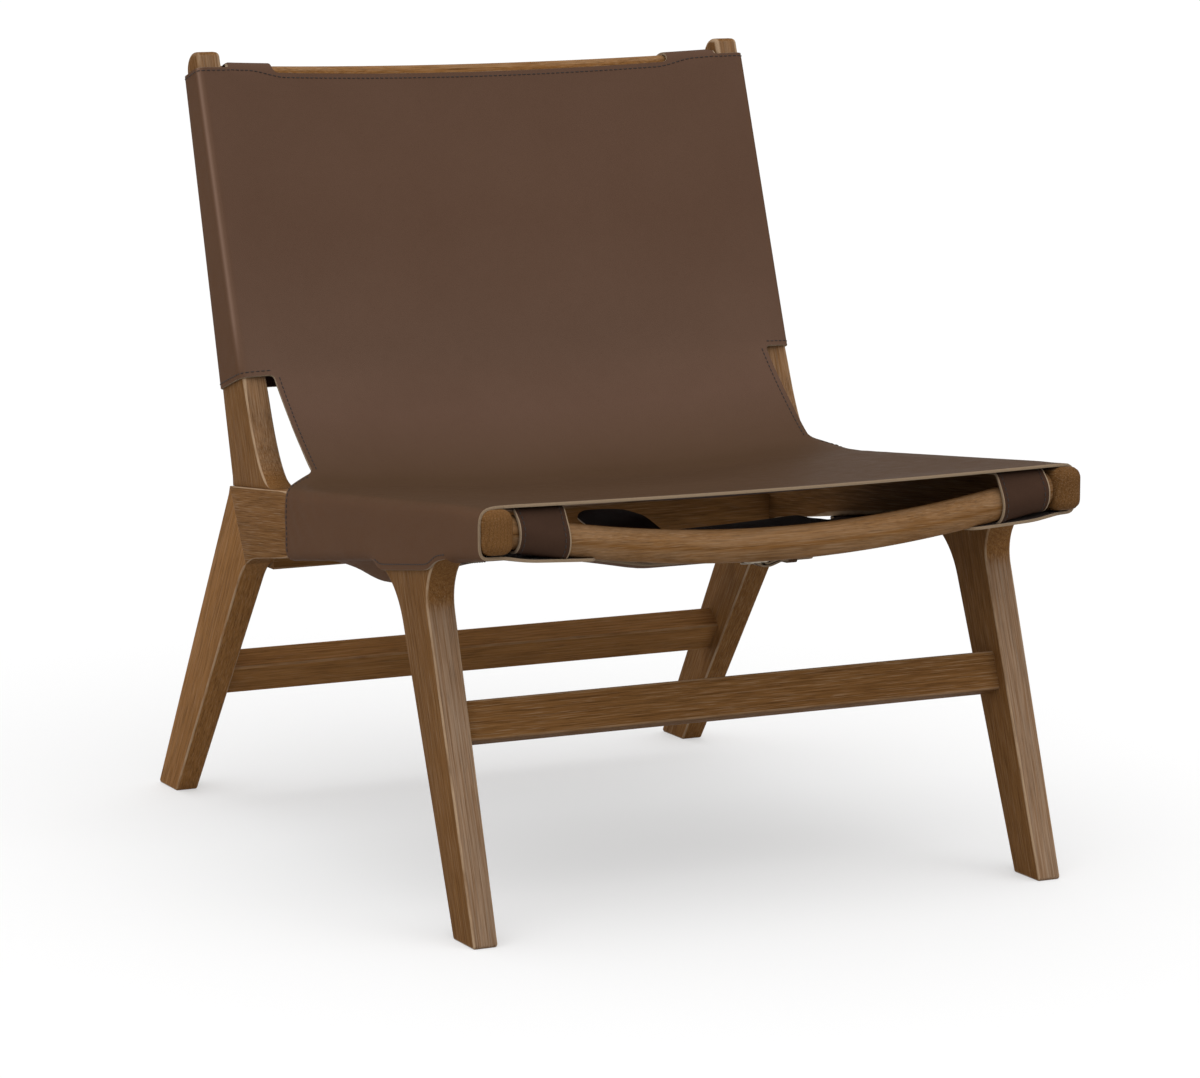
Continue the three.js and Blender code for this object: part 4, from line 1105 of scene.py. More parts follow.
def behind(front):
    """The point of the leather behind the post that lies square behind a point on its front."""
    rear = crossing(front, front + back_out, post_rear(0), post_rear(POST_HEIGHT))
    return rear + back_rear_off * LEATHER_OFF


seat_start, back_end = seat_mid(sling_front), back_mid(back_top)
sling_corner = crossing(seat_start, seat_mid(0), back_end, back_mid(RAIL_CORNER_HEIGHT))
sling_bend = fillet(seat_start, sling_corner, back_end, SLING_BEND, SLING_BEND_STEPS)
sling_line = Path([seat_start, *sling_bend, back_end])


def along_seat(y):
    return float(np.interp(y, sling_line.points[:, 0], sling_line.places))


def along_back(z):
    lowest = int(np.argmin(sling_line.points[:len(sling_line.points) // 2, 1]))
    return float(np.interp(z, sling_line.points[lowest:, 1], sling_line.places[lowest:]))


s_bend = along_seat(sling_bend[0][0])
s_low = along_back(RAIL_CORNER_HEIGHT + NOTCH_LOW)
s_high = along_back(RAIL_CORNER_HEIGHT + NOTCH_TOP)
s_flap_top = along_back(POST_HEIGHT - BACK_FLAP_DROP)
s_top = sling_line.length
s_tab_end = s_top + TOP_RAIL_DEPTH + TOP_RAIL_HEIGHT + TOP_TAB_LAP
notch_low = sling_line.point(s_low)
notch_high = sling_line.point(s_high) + back_front_off * NOTCH_LIFT
seat_rear = notch_low[0] - WING_SETBACK

apron_front = front_flare[-1][0] - 4 * LEATHER
apron_rear = rear_flare[-1][0] - 8 * LEATHER
strap_y = [rail_front + setback for setback in SEAT_STRAPS]
flap_stations = [sling_front, sling_front + FLAP_LEAD, *strap_y, FLAP_END, seat_rear]

under_nominal = seat_wing_x - FLAP_COLUMNS[0]
t_edge = PANEL_HALF
t_fold = seat_wing_x
t_under = t_fold + SIDE_NOMINAL
t_flap = t_under + under_nominal
t_shoulder = t_flap + FLAP_COLUMNS[0] - FLAP_COLUMNS[1]
t_level = t_shoulder + FLAP_COLUMNS[1] - FLAP_COLUMNS[2]
t_inner = t_level + FLAP_COLUMNS[2] - FLAP_COLUMNS[3]
T_STATIONS = [t_edge, t_fold, t_under, t_under + HOLE_HEM, t_flap - HOLE_HEM, t_flap]
T_STATIONS += [t_shoulder, t_level, t_inner, t_inner + FLAP_EXTRA]

HIDE_TONES = [(92, 70, 57), (94, 72, 59), (96, 74, 61)]
FLESH_TONES = [(56, 38, 32), (66, 46, 38), (76, 54, 45)]
EDGE_TONES = [(124, 103, 82), (146, 125, 101), (164, 143, 118)]
# The tabs' grain side is a darker copy of the hide: painted shade for tabs that tuck under the seat's
# front edge
TAB_SHADE_TONES = [(58, 41, 32), (64, 46, 36), (70, 51, 40)]
# After the tones: roughness, pebbles in a metre, their relief in metres, and sheen
hide = hide_material("hide_grain", HIDE_TONES, 0.55, 700.0, 0.0001, painted_light=True)
flesh = hide_material("hide_flesh", FLESH_TONES, 0.85, 420.0, 0.0003, 0.05)
raw_edge = hide_material("hide_edge", EDGE_TONES, 0.8, 900.0, 0.0002, 0.1)
tab_shaded_hide = hide_material("hide_dark", TAB_SHADE_TONES, 0.55, 700.0, 0.0001)
HIDE_MATERIALS = [hide, flesh, raw_edge]
TAB_MATERIALS = [tab_shaded_hide, flesh, raw_edge]


def sag_share(x):
    return np.clip(1 - (x / PANEL_HALF) ** 2, 0, 1)


top_rail_front = top_rail_centre(0) - back_out * (TOP_RAIL_DEPTH / 2 + LEATHER)
back_sag = (top_rail_front - back_mid(top_rail_z)) @ back_out


def sag(s):
    """How far the middle of the panel lies below or behind its edges."""
    early = mix(FRONT_SAG, SEAT_SAG, smoothstep(0, FRONT_SAG_REACH, s))
    return mix(early, back_sag, smoothstep(s_high, s_top, s))


def edge_lift(s):
    """How far the panel's edge stands off the bend, where it runs free between the notch's corners."""
    here = sling_line.point(s)
    share = (here[1] - notch_low[1]) / (notch_high[1] - notch_low[1])
    if s <= s_low:
        return 0.0
    if s <= s_high:
        return float(np.linalg.norm(mix(notch_low, notch_high, share) - here)) * (1 - NOTCH_BOW)
    return edge_lift(s_high) * float(smoothstep(s_high + EDGE_LIFT_REACH, s_high, s))


def flap_drop(y, column):
    """How far a flap lies below the side rail, at one of its columns."""
    after = int(np.clip(np.searchsorted(flap_stations, y), 1, len(flap_stations) - 1))
    share = smoothstep(flap_stations[after - 1], flap_stations[after], y)
    return mix(FLAP_DROPS[after - 1][column], FLAP_DROPS[after][column], share)


def flap_place(y, column):
    """Height of a flap at one of its columns. Its inner part is flat under the straps."""
    def loose(place):
        return rail_under(place)[1] - LEATHER_OFF - flap_drop(place, column)

    if column < STRAPPED_COLUMN:
        return loose(y)
    front, rear = strap_y
    flat = np.interp(y, strap_y, [loose(front), loose(rear)])
    flat += (y - np.clip(y, front, rear)) * (loose(rear) - loose(front)) / (rear - front)
    held = smoothstep(front - 4 * STRAP_WIDTH, front - STRAP_WIDTH, y)
    held = held * smoothstep(rear + 4 * STRAP_WIDTH, rear + STRAP_WIDTH, y)
    return mix(loose(y), flat, held)


def leg_depth(y):
    """How far the front leg's flares reach below the side rail."""
    line = np.vstack([front_flare[::-1], rear_flare])
    line = line[np.argsort(line[:, 0])]
    low = float(np.interp(y, line[:, 0], line[:, 1], math.inf, math.inf))
    return max(0.0, rail_under(y)[1] - low)


def seat_wing(s):
    """Points of the wing at the flat cut's stations: over the rail, down its side and under it."""
    y = float(sling_line.point(s)[0])
    y = y - WING_SETBACK * float(smoothstep(s_bend, s_low, s))
    bare = fade(y, apron_front, APRON_SPAN) * fade(-y, -apron_rear, APRON_SPAN)
    under = rail_under(y)[1]
    slack = FRONT_SLACK * smoothstep(*FRONT_SLACK_SPAN, s)
    low = under - min(APRON, LEATHER_OFF + leg_depth(y) + slack)
    flaps = [at(x, y, flap_place(y, column)) for column, x in enumerate(FLAP_COLUMNS)]
    fold = at(seat_wing_x, y, seat_mid(y)[1])
    turn = at(seat_wing_x, y, low)
    level_under = at(0, y, under - LEATHER_OFF)
    down = mix(level_under + at(turn[0] - HOLE_HEM, 0, 0), turn - at(0, 0, HOLE_HEM), bare)
    out = mix(level_under + at(flaps[0][0] + HOLE_HEM, 0, 0), flaps[0] + at(HOLE_HEM, 0, 0), bare)
    return [fold, turn, down, out, *flaps, flaps[-1] - at(FLAP_EXTRA, 0, 0)]


def back_wing(s):
    """Points of the wing at the flat cut's stations: round the post and in behind it."""
    front = back_mid(sling_line.point(min(s, s_top))[1])
    rear = behind(front)
    fold = at(back_wing_x, *front)
    turn = at(back_wing_x, *rear)
    flaps = [at(x, *rear) for x in FLAP_COLUMNS]
    share = HOLE_HEM / under_nominal
    down, out = mix(turn, flaps[0], share), mix(flaps[0], turn, share)
    return [fold, turn, down, out, *flaps, flaps[-1] - at(FLAP_EXTRA, 0, 0)]


def panel_row(s, x):
    lift = edge_lift(s)
    rise = lift - (lift + sag(s)) * sag_share(x)
    return placed(x, sling_line.point(s) + rise[:, None] * left_of(sling_line.tangent(s)))


def top_tab_rows(x, lengths):
    """The tabs that go on from the top edge, over the top rail and down its back."""
    reach = TOP_RAIL_DEPTH / 2 + LEATHER_OFF
    rise = TOP_RAIL_HEIGHT / 2 + LEATHER_OFF
    foot = -TOP_RAIL_HEIGHT / 2 - TOP_TAB_FOOT
    turns = [(-TOP_RAIL_DEPTH / 2, rise), (reach, rise), (reach, foot)]
    rows = []
    for place, first in zip(x, panel_row(s_top, x)[:, 1:]):
        centre = top_rail_centre(place)
        path = Path([first, *[centre + back_out * out + back_up * up for out, up in turns]])
        rows.append(placed(place, path.point(lengths)))
    return np.stack(rows, axis=1)


class SlingSurface(Surface):
    """The sling's middle, with its left half mirrored from its right."""

    S_STEP = 3.0
    T_STEP = 1.5
    MARGIN = 40
    S_REACH = 2  # how many steps are averaged each way, along s and then along t
    SEAT_REACH = 5
    BACK_REACH = 4
    END_REACH = 8  # at the side rail's front end
    END_SPAN = (70, 15)
    PANEL_SPAN = (0, 10)

    def __init__(self):
        s_end = s_top + TOP_RAIL_DEPTH + TOP_RAIL_HEIGHT + TOP_TAB_SPARE
        self.s = np.arange(-self.MARGIN, s_end, self.S_STEP)
        self.t = np.arange(0, t_inner + FLAP_EXTRA, self.T_STEP)
        self.thickness = LEATHER
        self.seat = self.make(seat_wing, self.SEAT_REACH)
        self.back = self.make(back_wing, self.BACK_REACH)
        self.split = (s_low + s_high) / 2

    def make(self, wing, reach):
        """The right half, with a wing of the seat's or of the back's kind all along it."""
        flat = self.t <= t_edge
        grid = np.zeros((len(self.s), len(self.t), 3))
        for row, s in zip(grid, self.s):
            row[flat] = panel_row(min(s, s_top), self.t[flat])
            edge = panel_row(min(s, s_top), at(PANEL_HALF))[0]
            row[~flat] = read(self.t[~flat], T_STATIONS, [edge, *wing(s)])
        over = self.s > s_top
        grid[np.ix_(over, flat)] = top_tab_rows(self.t[flat], self.s[over] - s_top)
        round_s = blurred(grid, 0, self.S_REACH, 2)
        round_t = blurred(round_s, 1, reach, 2)
        round_end = blurred(round_s, 1, self.END_REACH, 2)
        round_t = mix(round_t, round_end, smoothstep(*self.END_SPAN, self.s)[:, None, None])
        off_panel = fade(self.t, t_edge, self.PANEL_SPAN)[None, :, None]
        return Surface(self.s, self.t, mix(round_s, round_t, off_panel), LEATHER)

    def smooth(self, s, t):
        away = np.abs(t)
        on_seat = (s < self.split)[:, None]
        found = np.where(on_seat, self.seat.point(s, away), self.back.point(s, away))
        found[:, 0] *= np.where(t < 0, -1, 1)
        return found

    def point(self, u, v):
        normal = square_to(self.smooth, u, v, 2 * NORMAL_STEP)
        return self.smooth(u, v) + normal * creases(u, v)[:, None]


# Slack and creases of the sling
SLACK = 1.6
SLACK_SIDE = 90  # where the slack fades out, towards the panel's edges and its ends
SLACK_END = 120
SLACK_PACE = (0.0036, 0.0096)  # waves in a millimetre
SLACK_WAVES = 7
PUCKER = 0.8  # small folds where the wing ends below the notch
PUCKER_PLACE = (60, 26)  # before the notch and below the fold
PUCKER_REACH = (55, 26)
PUCKER_SLANT = 0.75
PUCKER_PACE = 0.23
LOBE_LEAD = 4
LOBE_RISE = 70
LOBE_FALL = 40
LOBE_SPAN = (-24, 16)

lobe_start = along_seat(strap_y[1] - LOBE_LEAD)
UNDULATIONS = [
    (random.uniform(*SLACK_PACE), random.uniform(0, 2 * math.pi), random.uniform(0, 2 * math.pi))
    for _ in range(SLACK_WAVES)
]


def creases(s, t):
    """How far the leather stands off its even shape: slack in the panel and folds at its corners."""
    away = np.abs(t)
    slack = np.zeros_like(s)
    for pace, heading, start in UNDULATIONS:
        place = s * math.cos(heading) + t * math.sin(heading)
        slack += np.sin(2 * math.pi * pace * place + start) / len(UNDULATIONS)
    panel = smoothstep(t_edge, t_edge - SLACK_SIDE, away)
    panel = panel * smoothstep(0, SLACK_END, s) * smoothstep(s_top, s_top - SLACK_END, s)
    fold_s, fold_t = s - (s_low - PUCKER_PLACE[0]), away - (t_fold + PUCKER_PLACE[1])
    near = np.exp(-(fold_s / PUCKER_REACH[0]) ** 2 - (fold_t / PUCKER_REACH[1]) ** 2)
    wave = 1 + np.sin((fold_s * PUCKER_SLANT + fold_t) * PUCKER_PACE + np.sign(t))
    lobe = smoothstep(lobe_start, lobe_start + LOBE_RISE, s) * smoothstep(s_low, s_low - LOBE_FALL, s)
    curl = LOBE_LIFT * lobe * fade(-t, t_inner, LOBE_SPAN)
    return slack * SLACK * panel + near * PUCKER * wave - curl


# The sling's outline, its seams and the grid of its mesh
FRONT_CUT = 9  # how far the right wing's front edge lies behind the sling's
FRONT_CUT_SLOPE = 14
FRONT_CUT_OVER = 4  # how far the cut goes past the wing's upper and lower folds
FRONT_CUT_UNDER = 10
FRONT_CUT_RADIUS = 10
SHOULDER_GAP = 6  # from the front leg's flare
FLAP_PAST_STRAP = 18  # how far the right flap goes on behind the rear strap
FLAP_SLOPE = 50
FLAP_SLOPE_END = 8
WING_LAP = 20  # how far the wings reach past their lower fold
FLAP_TOP_LAP = 8
TOP_LAP = 4
LOBE_FOOT_LEAD = 8
LOBE_FOOT = (44, -10)
LOBE_FOOT_RISE = 2
SLING_STEP = 4
SLING_GRID = 7.0
SLING_GRID_START = 5
SLING_MARGIN = 2.6
FOLD_GRID = np.arange(-9, 9.1, 2.25)  # finer columns at a fold
FOLD_BEFORE = 12
FOLD_PAST = 14
TOP_TAB_GRID = 2.5
TOP_TAB_GRID_LEAD = (4, 2)  # before the top edge, where the rows end and the tabs' finer ones start
TOP_HEM_SPAN = (30, -14)  # where the top hem leaves the tabs
TOP_HEM_POINTS = 160
SHOULDER_SEAM = 26
FLAP_SEAM = 12
HOLE_SEAM = 8
BACK_FLAP_SEAM = 14

tab_inner = inner_face - TAB_SIDE_GAP - TAB_WIDTH
shoulder_rear = along_seat(front_flare[-1][0] - SHOULDER_GAP)
flap_rear = along_seat(strap_y[1] + FLAP_PAST_STRAP)
hole_ends = along_seat(apron_front), along_seat(apron_rear)


def half_outline(flap_corner):
    """Corners (s, t, radius) of the right half, from the shoulder of its flap to the top edge."""
    return [
        (0, t_shoulder, 12),
        (shoulder_rear, t_shoulder, 26),
        (shoulder_rear, t_inner, 24),
        *flap_corner,
        (along_seat(strap_y[1] + FLAP_SLOPE), t_shoulder, 40),
        (along_seat(FLAP_END), t_flap - FLAP_SLOPE_END, 40),
        (s_low, t_under + WING_LAP, 10),
        (s_low, t_edge, 5),
        (s_high, t_edge, 5),
        (s_high, t_inner, 14),
        (s_flap_top, t_inner, 14),
        (s_flap_top, t_under + FLAP_TOP_LAP, 8),
        (s_top, t_under + TOP_LAP, 10),
        (s_top, t_edge, 2),
        (s_tab_end, t_edge, 7),
        (s_tab_end, tab_inner, 7),
        (s_top - TOP_EDGE_CUT, tab_inner, 6),
    ]


def sling_outline():
    cut_over, cut_under = t_fold - FRONT_CUT_OVER, t_under + FRONT_CUT_UNDER
    front_cut = [
        (0, cut_over - FRONT_CUT_SLOPE, FRONT_CUT_RADIUS),
        (FRONT_CUT, cut_over, FRONT_CUT_RADIUS),
        (FRONT_CUT, cut_under, FRONT_CUT_RADIUS),
        (0, cut_under + FRONT_CUT_SLOPE, FRONT_CUT_RADIUS),
    ]
    lobe_rear = along_seat(strap_y[1] + LOBE_REAR)
    lobe = [
        (along_seat(strap_y[1] + LOBE_FRONT - LOBE_FOOT_LEAD), t_inner, 3),
        (along_seat(strap_y[1] + LOBE_FRONT), t_inner + LOBE, 8),
        (lobe_rear, t_inner + LOBE, 28),
        (lobe_rear, t_inner + LOBE_FOOT_RISE, 24),
        (along_seat(strap_y[1] + LOBE_FOOT[0]), t_inner + LOBE_FOOT[1], 12),
    ]
    right = half_outline([(flap_rear, t_inner, 10)])
    left = [(s, -t, radius) for s, t, radius in reversed(half_outline(lobe))]
    return rounded_loop([*front_cut, *right, *left], SLING_STEP)


def sling_seams():
    """Lines of stitches, on both halves and along the top edge."""
    flap_hem, side_hem = t_inner - HEM, t_edge - HEM
    half = [
        [(s_low - HEM, t_edge + HEM), (s_low - HEM, t_under)],
        [(s_low, side_hem), (s_high, side_hem)],
        [(s_high + HEM, t_edge), (s_high + HEM, flap_hem)],
        [(hole_ends[0], t_under - HEM), (hole_ends[1], t_under - HEM)],
        [(hole_ends[0] + HOLE_SEAM, t_flap + HEM), (hole_ends[1] - HOLE_SEAM, t_flap + HEM)],
        [(s_high + HEM, flap_hem), (s_flap_top - HEM, flap_hem)],
        [(s_flap_top - HEM, flap_hem), (s_flap_top - HEM, t_under + BACK_FLAP_SEAM)],
        [(shoulder_rear + SHOULDER_SEAM, flap_hem), (flap_rear - FLAP_SEAM, flap_hem)],
    ]
    lines = [[(s, sign * t) for s, t in line] for sign in (1, -1) for line in half]
    across = np.linspace(t_under, -t_under, TOP_HEM_POINTS)
    below = HEM + TOP_EDGE_CUT * fade(np.abs(across), tab_inner, TOP_HEM_SPAN)
    return [*lines, np.column_stack([s_top - below, across])]


def make_sling():
    outline = sling_outline()
    hole = rounded_loop([
        (hole_ends[0], t_under, 4),
        (hole_ends[0], t_flap, 8),
        (hole_ends[1], t_flap, 8),
        (hole_ends[1], t_under, 4),
    ], SLING_STEP)
    surface = SlingSurface()
    half_columns = np.concatenate([
        np.arange(SLING_GRID, t_fold - FOLD_BEFORE, SLING_GRID),
        t_fold + FOLD_GRID,
        np.arange(t_fold + FOLD_PAST, t_under - FOLD_BEFORE, SLING_GRID),
        t_under + FOLD_GRID,
        np.arange(t_under + FOLD_PAST, t_inner, SLING_GRID),
    ])
    columns = np.concatenate([-half_columns[::-1], [0], half_columns])
    rows = np.concatenate([
        np.arange(SLING_GRID_START, s_top - TOP_TAB_GRID_LEAD[0], SLING_GRID),
        np.arange(s_top - TOP_TAB_GRID_LEAD[1], s_tab_end, TOP_TAB_GRID),
    ])
    loops = [outline, hole, hole[::-1] * at(1, -1)]
    piece = leather_piece("leather_sling", loops, surface, rows, columns, SLING_MARGIN)
    sewn = sewing("leather_sling", sling_seams(), surface)


# Front tabs

TAB_CURL = 2.2  # how far the tabs' long edges stand off the front seat rail
TAB_CURL_SHARE = 0.55  # of the way from a tab's middle to its edge, where the curl starts
TAB_CURL_SPAN = (25, 55)
TAB_CURL_END = 60
TAB_SETBACK = 9  # from the sling's front edge to where the tabs leave its underside
TAB_BEND = 7
TAB_BEND_STEPS = 10
TAB_TURN_POINTS = 28
TAB_CORNERS = (3, 6)
TAB_BEVEL = 1.1  # width of the pale cut along the tabs' edges
BEVEL_CORNERS = (2, 5)
TAB_COLUMNS = 9
TAB_STEP = 1.5
TAB_GRID = 3
TAB_GRID_GAPS = (4, 2)  # from a tab's long edges to its first column of points and past its last
TAB_MARGIN = 1.6
TAB_SEAM_GAPS = (2, 4)  # from a tab's ends to its stitches


def tab_path(x):
    """A tab's line: from under the seat's edge, round the front seat rail and back below it."""
    run = BAR_DIAMETER / 2 + TAB_GAP + TAB_THICKNESS / 2
    tab_rear = bar_y + TAB_TAIL
    centre = bar_centre(x)
    down = at(0, LEATHER_GAP - CLEARANCE - TAB_THICKNESS / 2 - FRONT_SAG * sag_share(x))
    first = rail_top(tab_rear) + down
    front = rail_top(sling_front + TAB_SETBACK) + down
    reach = front - centre
    start = math.atan2(reach[1], reach[0]) + math.acos(run / np.linalg.norm(reach))
    round_bar = circle(centre, run, np.linspace(start, 1.5 * math.pi, TAB_TURN_POINTS))
    bend = fillet(first, front, round_bar[0], TAB_BEND, TAB_BEND_STEPS)
    return Path([first, *bend, *round_bar, at(tab_rear, centre[1] - run)])


def make_front_tabs():
    outer = inner_face - TAB_SIDE_GAP
    columns = np.linspace(outer - TAB_WIDTH, outer, TAB_COLUMNS)
    steps = np.arange(0, tab_path(columns[0]).length + TAB_STEP, TAB_STEP)
    length = steps[-1]
    free = smoothstep(*TAB_CURL_SPAN, steps) * smoothstep(length, TAB_CURL_END, steps)
    grid = []
    for x in columns:
        path = tab_path(x)
        line = path.point(steps * path.length / length)
        edge = abs(x - columns.mean()) / (TAB_WIDTH / 2)
        curl = TAB_CURL * smoothstep(TAB_CURL_SHARE, 1, edge) * free
        grid.append(placed(x, line + unit(line - bar_centre(x)) * curl[:, None]))
    grid = blurred(np.stack(grid, axis=1), 0)
    make_front_tab("front_tab_right", Surface(steps, -columns[::-1], grid[:, ::-1], TAB_THICKNESS))
    make_front_tab("front_tab_left", Surface(steps, columns, grid * at(-1, 1, 1), TAB_THICKNESS))


def make_front_tab(name, surface):
    length, low, high = surface.u[-1], surface.v[0], surface.v[-1]
    outline = plate((0, length), (low, high), TAB_CORNERS, TAB_GRID)
    cut = TAB_BEVEL
    bevel = plate((cut, length - cut), (low + cut, high - cut), BEVEL_CORNERS, TAB_GRID)
    rows = np.arange(TAB_GRID, length, TAB_GRID)
    columns = np.arange(low + TAB_GRID_GAPS[0], high - TAB_GRID_GAPS[1], 2 * TAB_GRID)
    piece = leather_piece(
        name, [outline], surface, rows, columns, TAB_MARGIN, TAB_MATERIALS, [bevel]
    )
    start, end = TAB_SEAM_GAPS[0], length - TAB_SEAM_GAPS[1]
    sewn = sewing(name, [[(start, x), (end, x)] for x in (low + HEM, high - HEM)], surface)


# Straps, each in a frame of its own: along the strap, across it and out from the flap

STRAP_HEM = 3
STRAP_STEP = 2
STRAP_GRID = (2.5, 3.0)
STRAP_MARGIN = 1.0
RIBBON_STEP = 1.0
RIBBON_COLUMNS = 5
FOLD_POINTS = 20
SLOT_STEP = 1.5
SLOT_FLAT = 0.05  # what its rounding leaves straight at a slot's ends
SLOT_LAP = 3  # how far the tongue's slot goes on past the fold under it
TONGUE_SEAM = (6, 34)  # from the tongue's start, and before the chair's middle
FOLD_SEAM = (24, 8)  # before the folded strap's end
TONGUE_TIP = 9
STRAP_TIP = 3
WIRE_SIDES = 12
BUCKLE_RADIUS = 4
PRONG_LAP = 1  # how far the prong reaches past the buckle's far bar
PRONG_EYE = np.radians([-230, 100])
PRONG_EYE_POINTS = 40
PRONG_SHANK = np.linspace(0.06, 1, 12)  # shares of the way from its eye to its tip
PRONG_TAPER = at(0.9, 0.75, 0.45)
PRONG_END = 0.7
KEEPER_RADIUS = 2.5
KEEPER_BEND_STEPS = 8
KEEPER_POINTS = 60
KEEPER_CORNER = 1
KEEPER_STEP = 1.5
KEEPER_COLUMNS = at(-2, 0, 2)
KEEPER_MARGIN = 0.8

layer = STRAP_THICKNESS + CLEARANCE
low_mid = CLEARANCE + STRAP_THICKNESS / 2
bar_half = BUCKLE_WIRE / 2
fold_radius = bar_half * math.sqrt(2) + CLEARANCE + STRAP_THICKNESS / 2
fold_outer = fold_radius + STRAP_THICKNESS / 2
hinge = at(BUCKLE_LENGTH / 2 - bar_half, low_mid + fold_radius)
slot_half = PRONG_WIDTH / 2 + CLEARANCE + bar_half / 2


def strap_frame(place, outward):
    """A function that puts points of a strap set on a flap, at a side view point of it."""
    along, out = at(1, 0, 0), at(0, *unit(outward))
    axes = np.stack([along, np.cross(out, along), out])
    return lambda points: at(STRAP_OFFSET, *place) + points @ axes


def ribbon(name, put, path, slot, tip, seam):
    """A strap whose middle follows a path, with a slot for the prong and rounded ends."""
    path = Path(path)
    steps = np.arange(0, path.length + RIBBON_STEP, RIBBON_STEP)
    line = blurred(path.point(steps), 0)
    line[[0, -1]] = path.point(steps[[0, -1]])
    length, half = steps[-1], STRAP_WIDTH / 2
    places = np.linspace(-half, half, RIBBON_COLUMNS)
    grid = np.stack([placed(-y, line)[:, [1, 0, 2]] for y in places], axis=1)
    surface = Surface(steps, places, put(grid), STRAP_THICKNESS)
    rim, hem = slot_half - SLOT_FLAT, half - STRAP_HEM
    loops = [
        plate((0, length), (-half, half), (STRAP_TIP, tip), STRAP_STEP),
        plate(slot, (-slot_half, slot_half), (rim, rim), SLOT_STEP),
    ]
    rows = np.arange(STRAP_STEP, length, STRAP_GRID[0])
    columns = np.arange(-hem, half - STRAP_MARGIN, STRAP_GRID[1])
    piece = leather_piece(name, loops, surface, rows, columns, STRAP_MARGIN)
    sewn = [sewing(name, [[(s, edge) for s in seam] for edge in (hem, -hem)], surface)]


def tube(name, path, radii, closed, body):
    """A round wire along a path of points."""
    ahead = np.roll(path, -1, axis=0) - np.roll(path, 1, axis=0)
    if not closed:
        ahead[0], ahead[-1] = path[1] - path[0], path[-1] - path[-2]
    flat = unit(np.cross(path[len(path) // 3] - path[0], path[2 * len(path) // 3] - path[0]))
    angles = 2 * math.pi * np.arange(WIRE_SIDES) / WIRE_SIDES
    rings = []
    for centre, side, radius in zip(path, unit(np.cross(flat, unit(ahead))), radii):
        spokes = np.outer(np.cos(angles), side) + np.outer(np.sin(angles), flat)
        rings.append(centre + radius * spokes)
    faces = tube_faces(len(rings), WIRE_SIDES, closed)
    piece = mesh_object("metal_" + name, np.vstack(rings), faces, [metal])
    return dress(piece, body, [name])


def make_buckle(name, put):
    x, y = (BUCKLE_LENGTH - BUCKLE_WIRE) / 2, (BUCKLE_OPENING + BUCKLE_WIRE) / 2
    loop = plate((-x, x), (-y, y), (BUCKLE_RADIUS, BUCKLE_RADIUS), SLOT_STEP)
    path = put(placed(hinge[1], loop)[:, [1, 2, 0]])
    tube(f"{name}_buckle", path, np.full(len(path), bar_half), True, "chair")


def make_prong(name, put):
    wire = PRONG_WIDTH / 2
    ring = bar_half + CLEARANCE + wire
    tip = hinge + at(BUCKLE_WIRE - BUCKLE_LENGTH - PRONG_LAP, ring)
    eye = circle(hinge, ring, np.linspace(*PRONG_EYE, PRONG_EYE_POINTS))
    line = np.vstack([eye, *[mix(eye[-1], tip, share) for share in PRONG_SHANK]])
    radii = np.full(len(line), wire)
    radii[-len(PRONG_TAPER):] *= PRONG_TAPER
    radii[0] *= PRONG_END
    path = put(placed(0, line)[:, [1, 0, 2]])
    tube(f"{name}_prong", path, radii, False, f"{name}_prong")


def make_keeper(name, put):
    reach = STRAP_WIDTH / 2 + layer - STRAP_THICKNESS / 2
    crest = low_mid + 3 * layer
    corners = [at(-reach, CLEARANCE), at(-reach, crest), at(reach, crest), at(reach, CLEARANCE)]
    bends = [fillet(*corners[i:i + 3], KEEPER_RADIUS, KEEPER_BEND_STEPS) for i in (0, 1)]
    path = Path([corners[0], *bends[0], *bends[1], corners[3]])
    half, length = KEEPER_WIDTH / 2, path.length
    steps, places = np.linspace(0, length, KEEPER_POINTS), at(-half, 0, half)
    rows = [placed(KEEPER_PLACE + v, path.point(steps)) for v in places]
    surface = Surface(steps, places, put(np.stack(rows, axis=1)), STRAP_THICKNESS)
    loop = plate((0, length), (-half, half), (KEEPER_CORNER, KEEPER_CORNER), KEEPER_STEP)
    rows = np.arange(KEEPER_STEP, length, KEEPER_STEP)
    piece = leather_piece(f"{name}_keeper", [loop], surface, rows, KEEPER_COLUMNS, KEEPER_MARGIN)


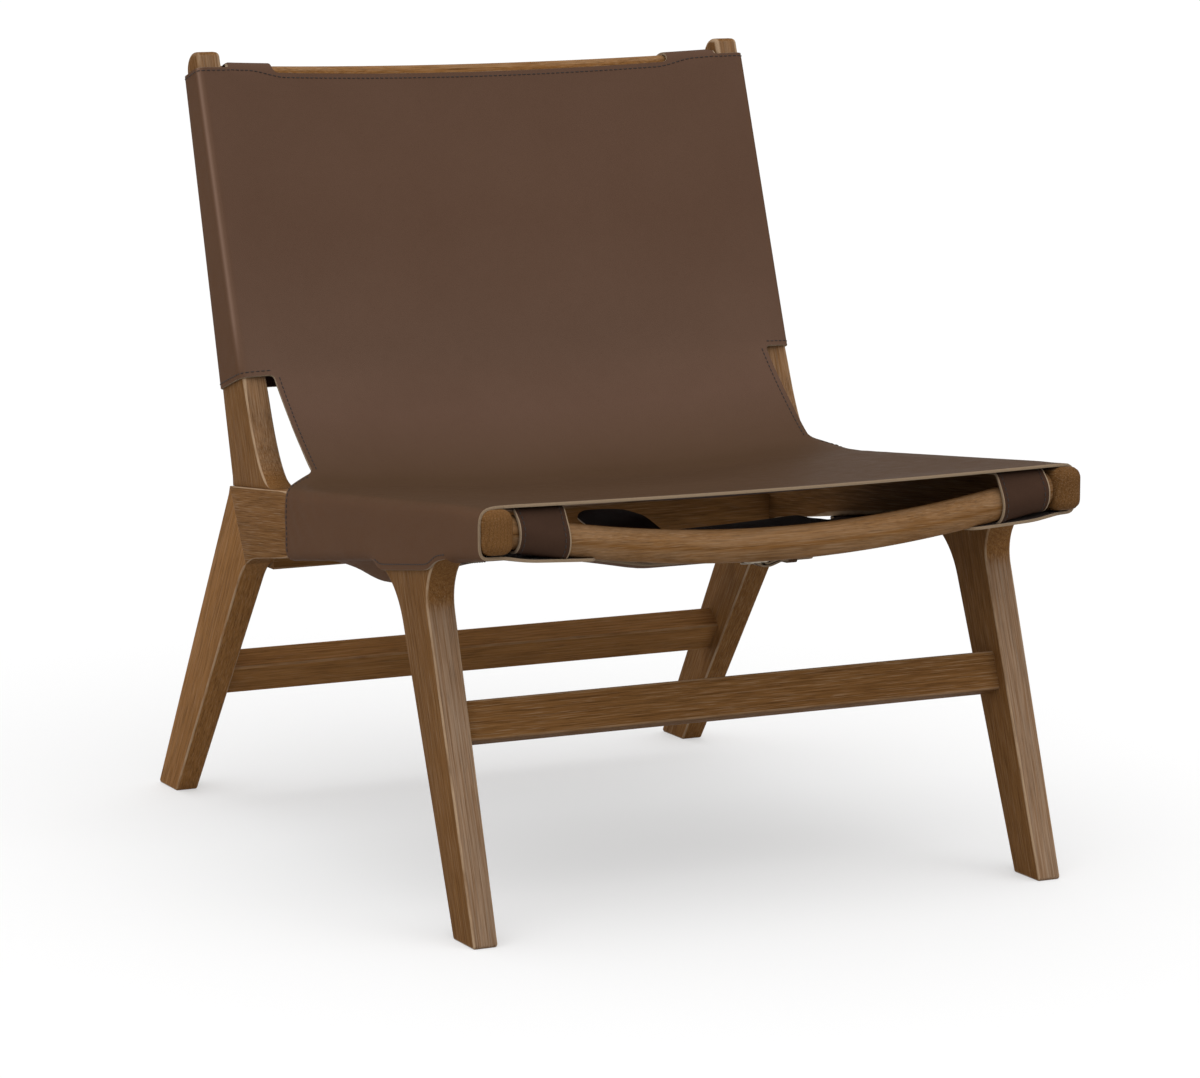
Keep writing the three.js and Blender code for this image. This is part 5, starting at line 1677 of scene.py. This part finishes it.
def make_straps(name, place, outward):
    put = strap_frame(place, outward)
    far_bar = BUCKLE_WIRE - BUCKLE_LENGTH / 2
    crest = hinge[1] + fold_outer + low_mid
    settle = at(KEEPER_PLACE - KEEPER_WIDTH, low_mid + 2 * layer)
    tongue = [
        at(TONGUE_START, low_mid), at(far_bar, low_mid), at(hinge[0] - fold_outer, crest),
        at(hinge[0] + fold_radius, crest), settle, at(TONGUE_END, settle[1]),
    ]
    slot = (far_bar + bar_half - TONGUE_START, hinge[0] + fold_outer + SLOT_LAP - TONGUE_START)
    seam = (TONGUE_SEAM[0], -TONGUE_START - STRAP_OFFSET - TONGUE_SEAM[1])
    ribbon(f"{name}_tongue", put, tongue, slot, TONGUE_TIP, seam)
    fold = circle(hinge, fold_radius, np.radians(np.linspace(270, 90, FOLD_POINTS)))
    settle = at(hinge[0] + 2 * fold_radius + 3 * BUCKLE_WIRE, low_mid + layer)
    end = at(BUCKLE_STRAP_END - STRAP_WIDTH / 5, settle[1])
    looped = [at(BUCKLE_STRAP_END, low_mid), *fold, settle, end]
    middle = BUCKLE_STRAP_END - hinge[0] + fold_radius * math.pi / 2
    slot = (middle - 2 * fold_outer, middle + 2 * fold_outer)
    seam = [2 * middle - before for before in FOLD_SEAM]
    ribbon(f"{name}_buckle_strap", put, looped, slot, STRAP_TIP, seam)
    make_keeper(name, put)
    make_buckle(name, put)
    make_prong(name, put)


def make_all_straps():
    places = [at(y, flap_place(y, len(FLAP_COLUMNS) - 1)) for y in strap_y]
    out = -left_of(unit(places[1] - places[0]))
    for name, place in zip(("seat_front", "seat_rear"), places):
        make_straps(name, place + out * LEATHER / 2, out)
    for name, drop in zip(("back_lower", "back_upper"), BACK_STRAPS):
        place = post_rear(POST_HEIGHT - drop) + back_rear_off * (LEATHER_OFF + LEATHER / 2)
        make_straps(name, place, back_rear_off)


# Studio

def make_studio():
    scene.world = bpy.data.worlds.new("studio")
    scene.world.use_nodes = True
    background = scene.world.node_tree.nodes["Background"]
    background.inputs["Color"].default_value = WHITE
    background.inputs["Strength"].default_value = WORLD_LEVEL
    key = bpy.data.lights.new("key", "SUN")
    key.energy = KEY_LEVEL
    key.angle = KEY_SPREAD
    scene_object("key", key, -KEY_DIRECTION)
    mesh = bpy.data.meshes.new("floor")
    reach = FLOOR_REACH
    corners = [(-reach, -reach, 0), (reach, -reach, 0), (reach, reach, 0), (-reach, reach, 0)]
    mesh.from_pydata(corners, [], [(0, 1, 2, 3)])
    mesh.materials.append(floor_material())
    floor = scene_object("floor", mesh)


def make_camera():
    data = bpy.data.cameras.new("camera")
    data.sensor_width = CAMERA_SENSOR
    data.lens = CAMERA_LENS
    flat = math.cos(CAMERA_ELEVATION)
    side, ahead = math.sin(CAMERA_AZIMUTH) * flat, math.cos(CAMERA_AZIMUTH) * flat
    away = Vector((side, -ahead, math.sin(CAMERA_ELEVATION)))
    scene.camera = scene_object("camera", data, -away)
    scene.camera.location = CAMERA_TARGET + away * CAMERA_DISTANCE


make_side_rails()
make_front_legs()
make_rear_legs()
make_posts()
make_cross_members()
for name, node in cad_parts.items():
    if name.endswith(("tenon_left", "tenon_right")):
        for slot in node.material_slots:
            slot.material = wood
make_sling()
make_front_tabs()
make_all_straps()
make_studio()
make_camera()
scene.view_settings.view_transform = "Standard"
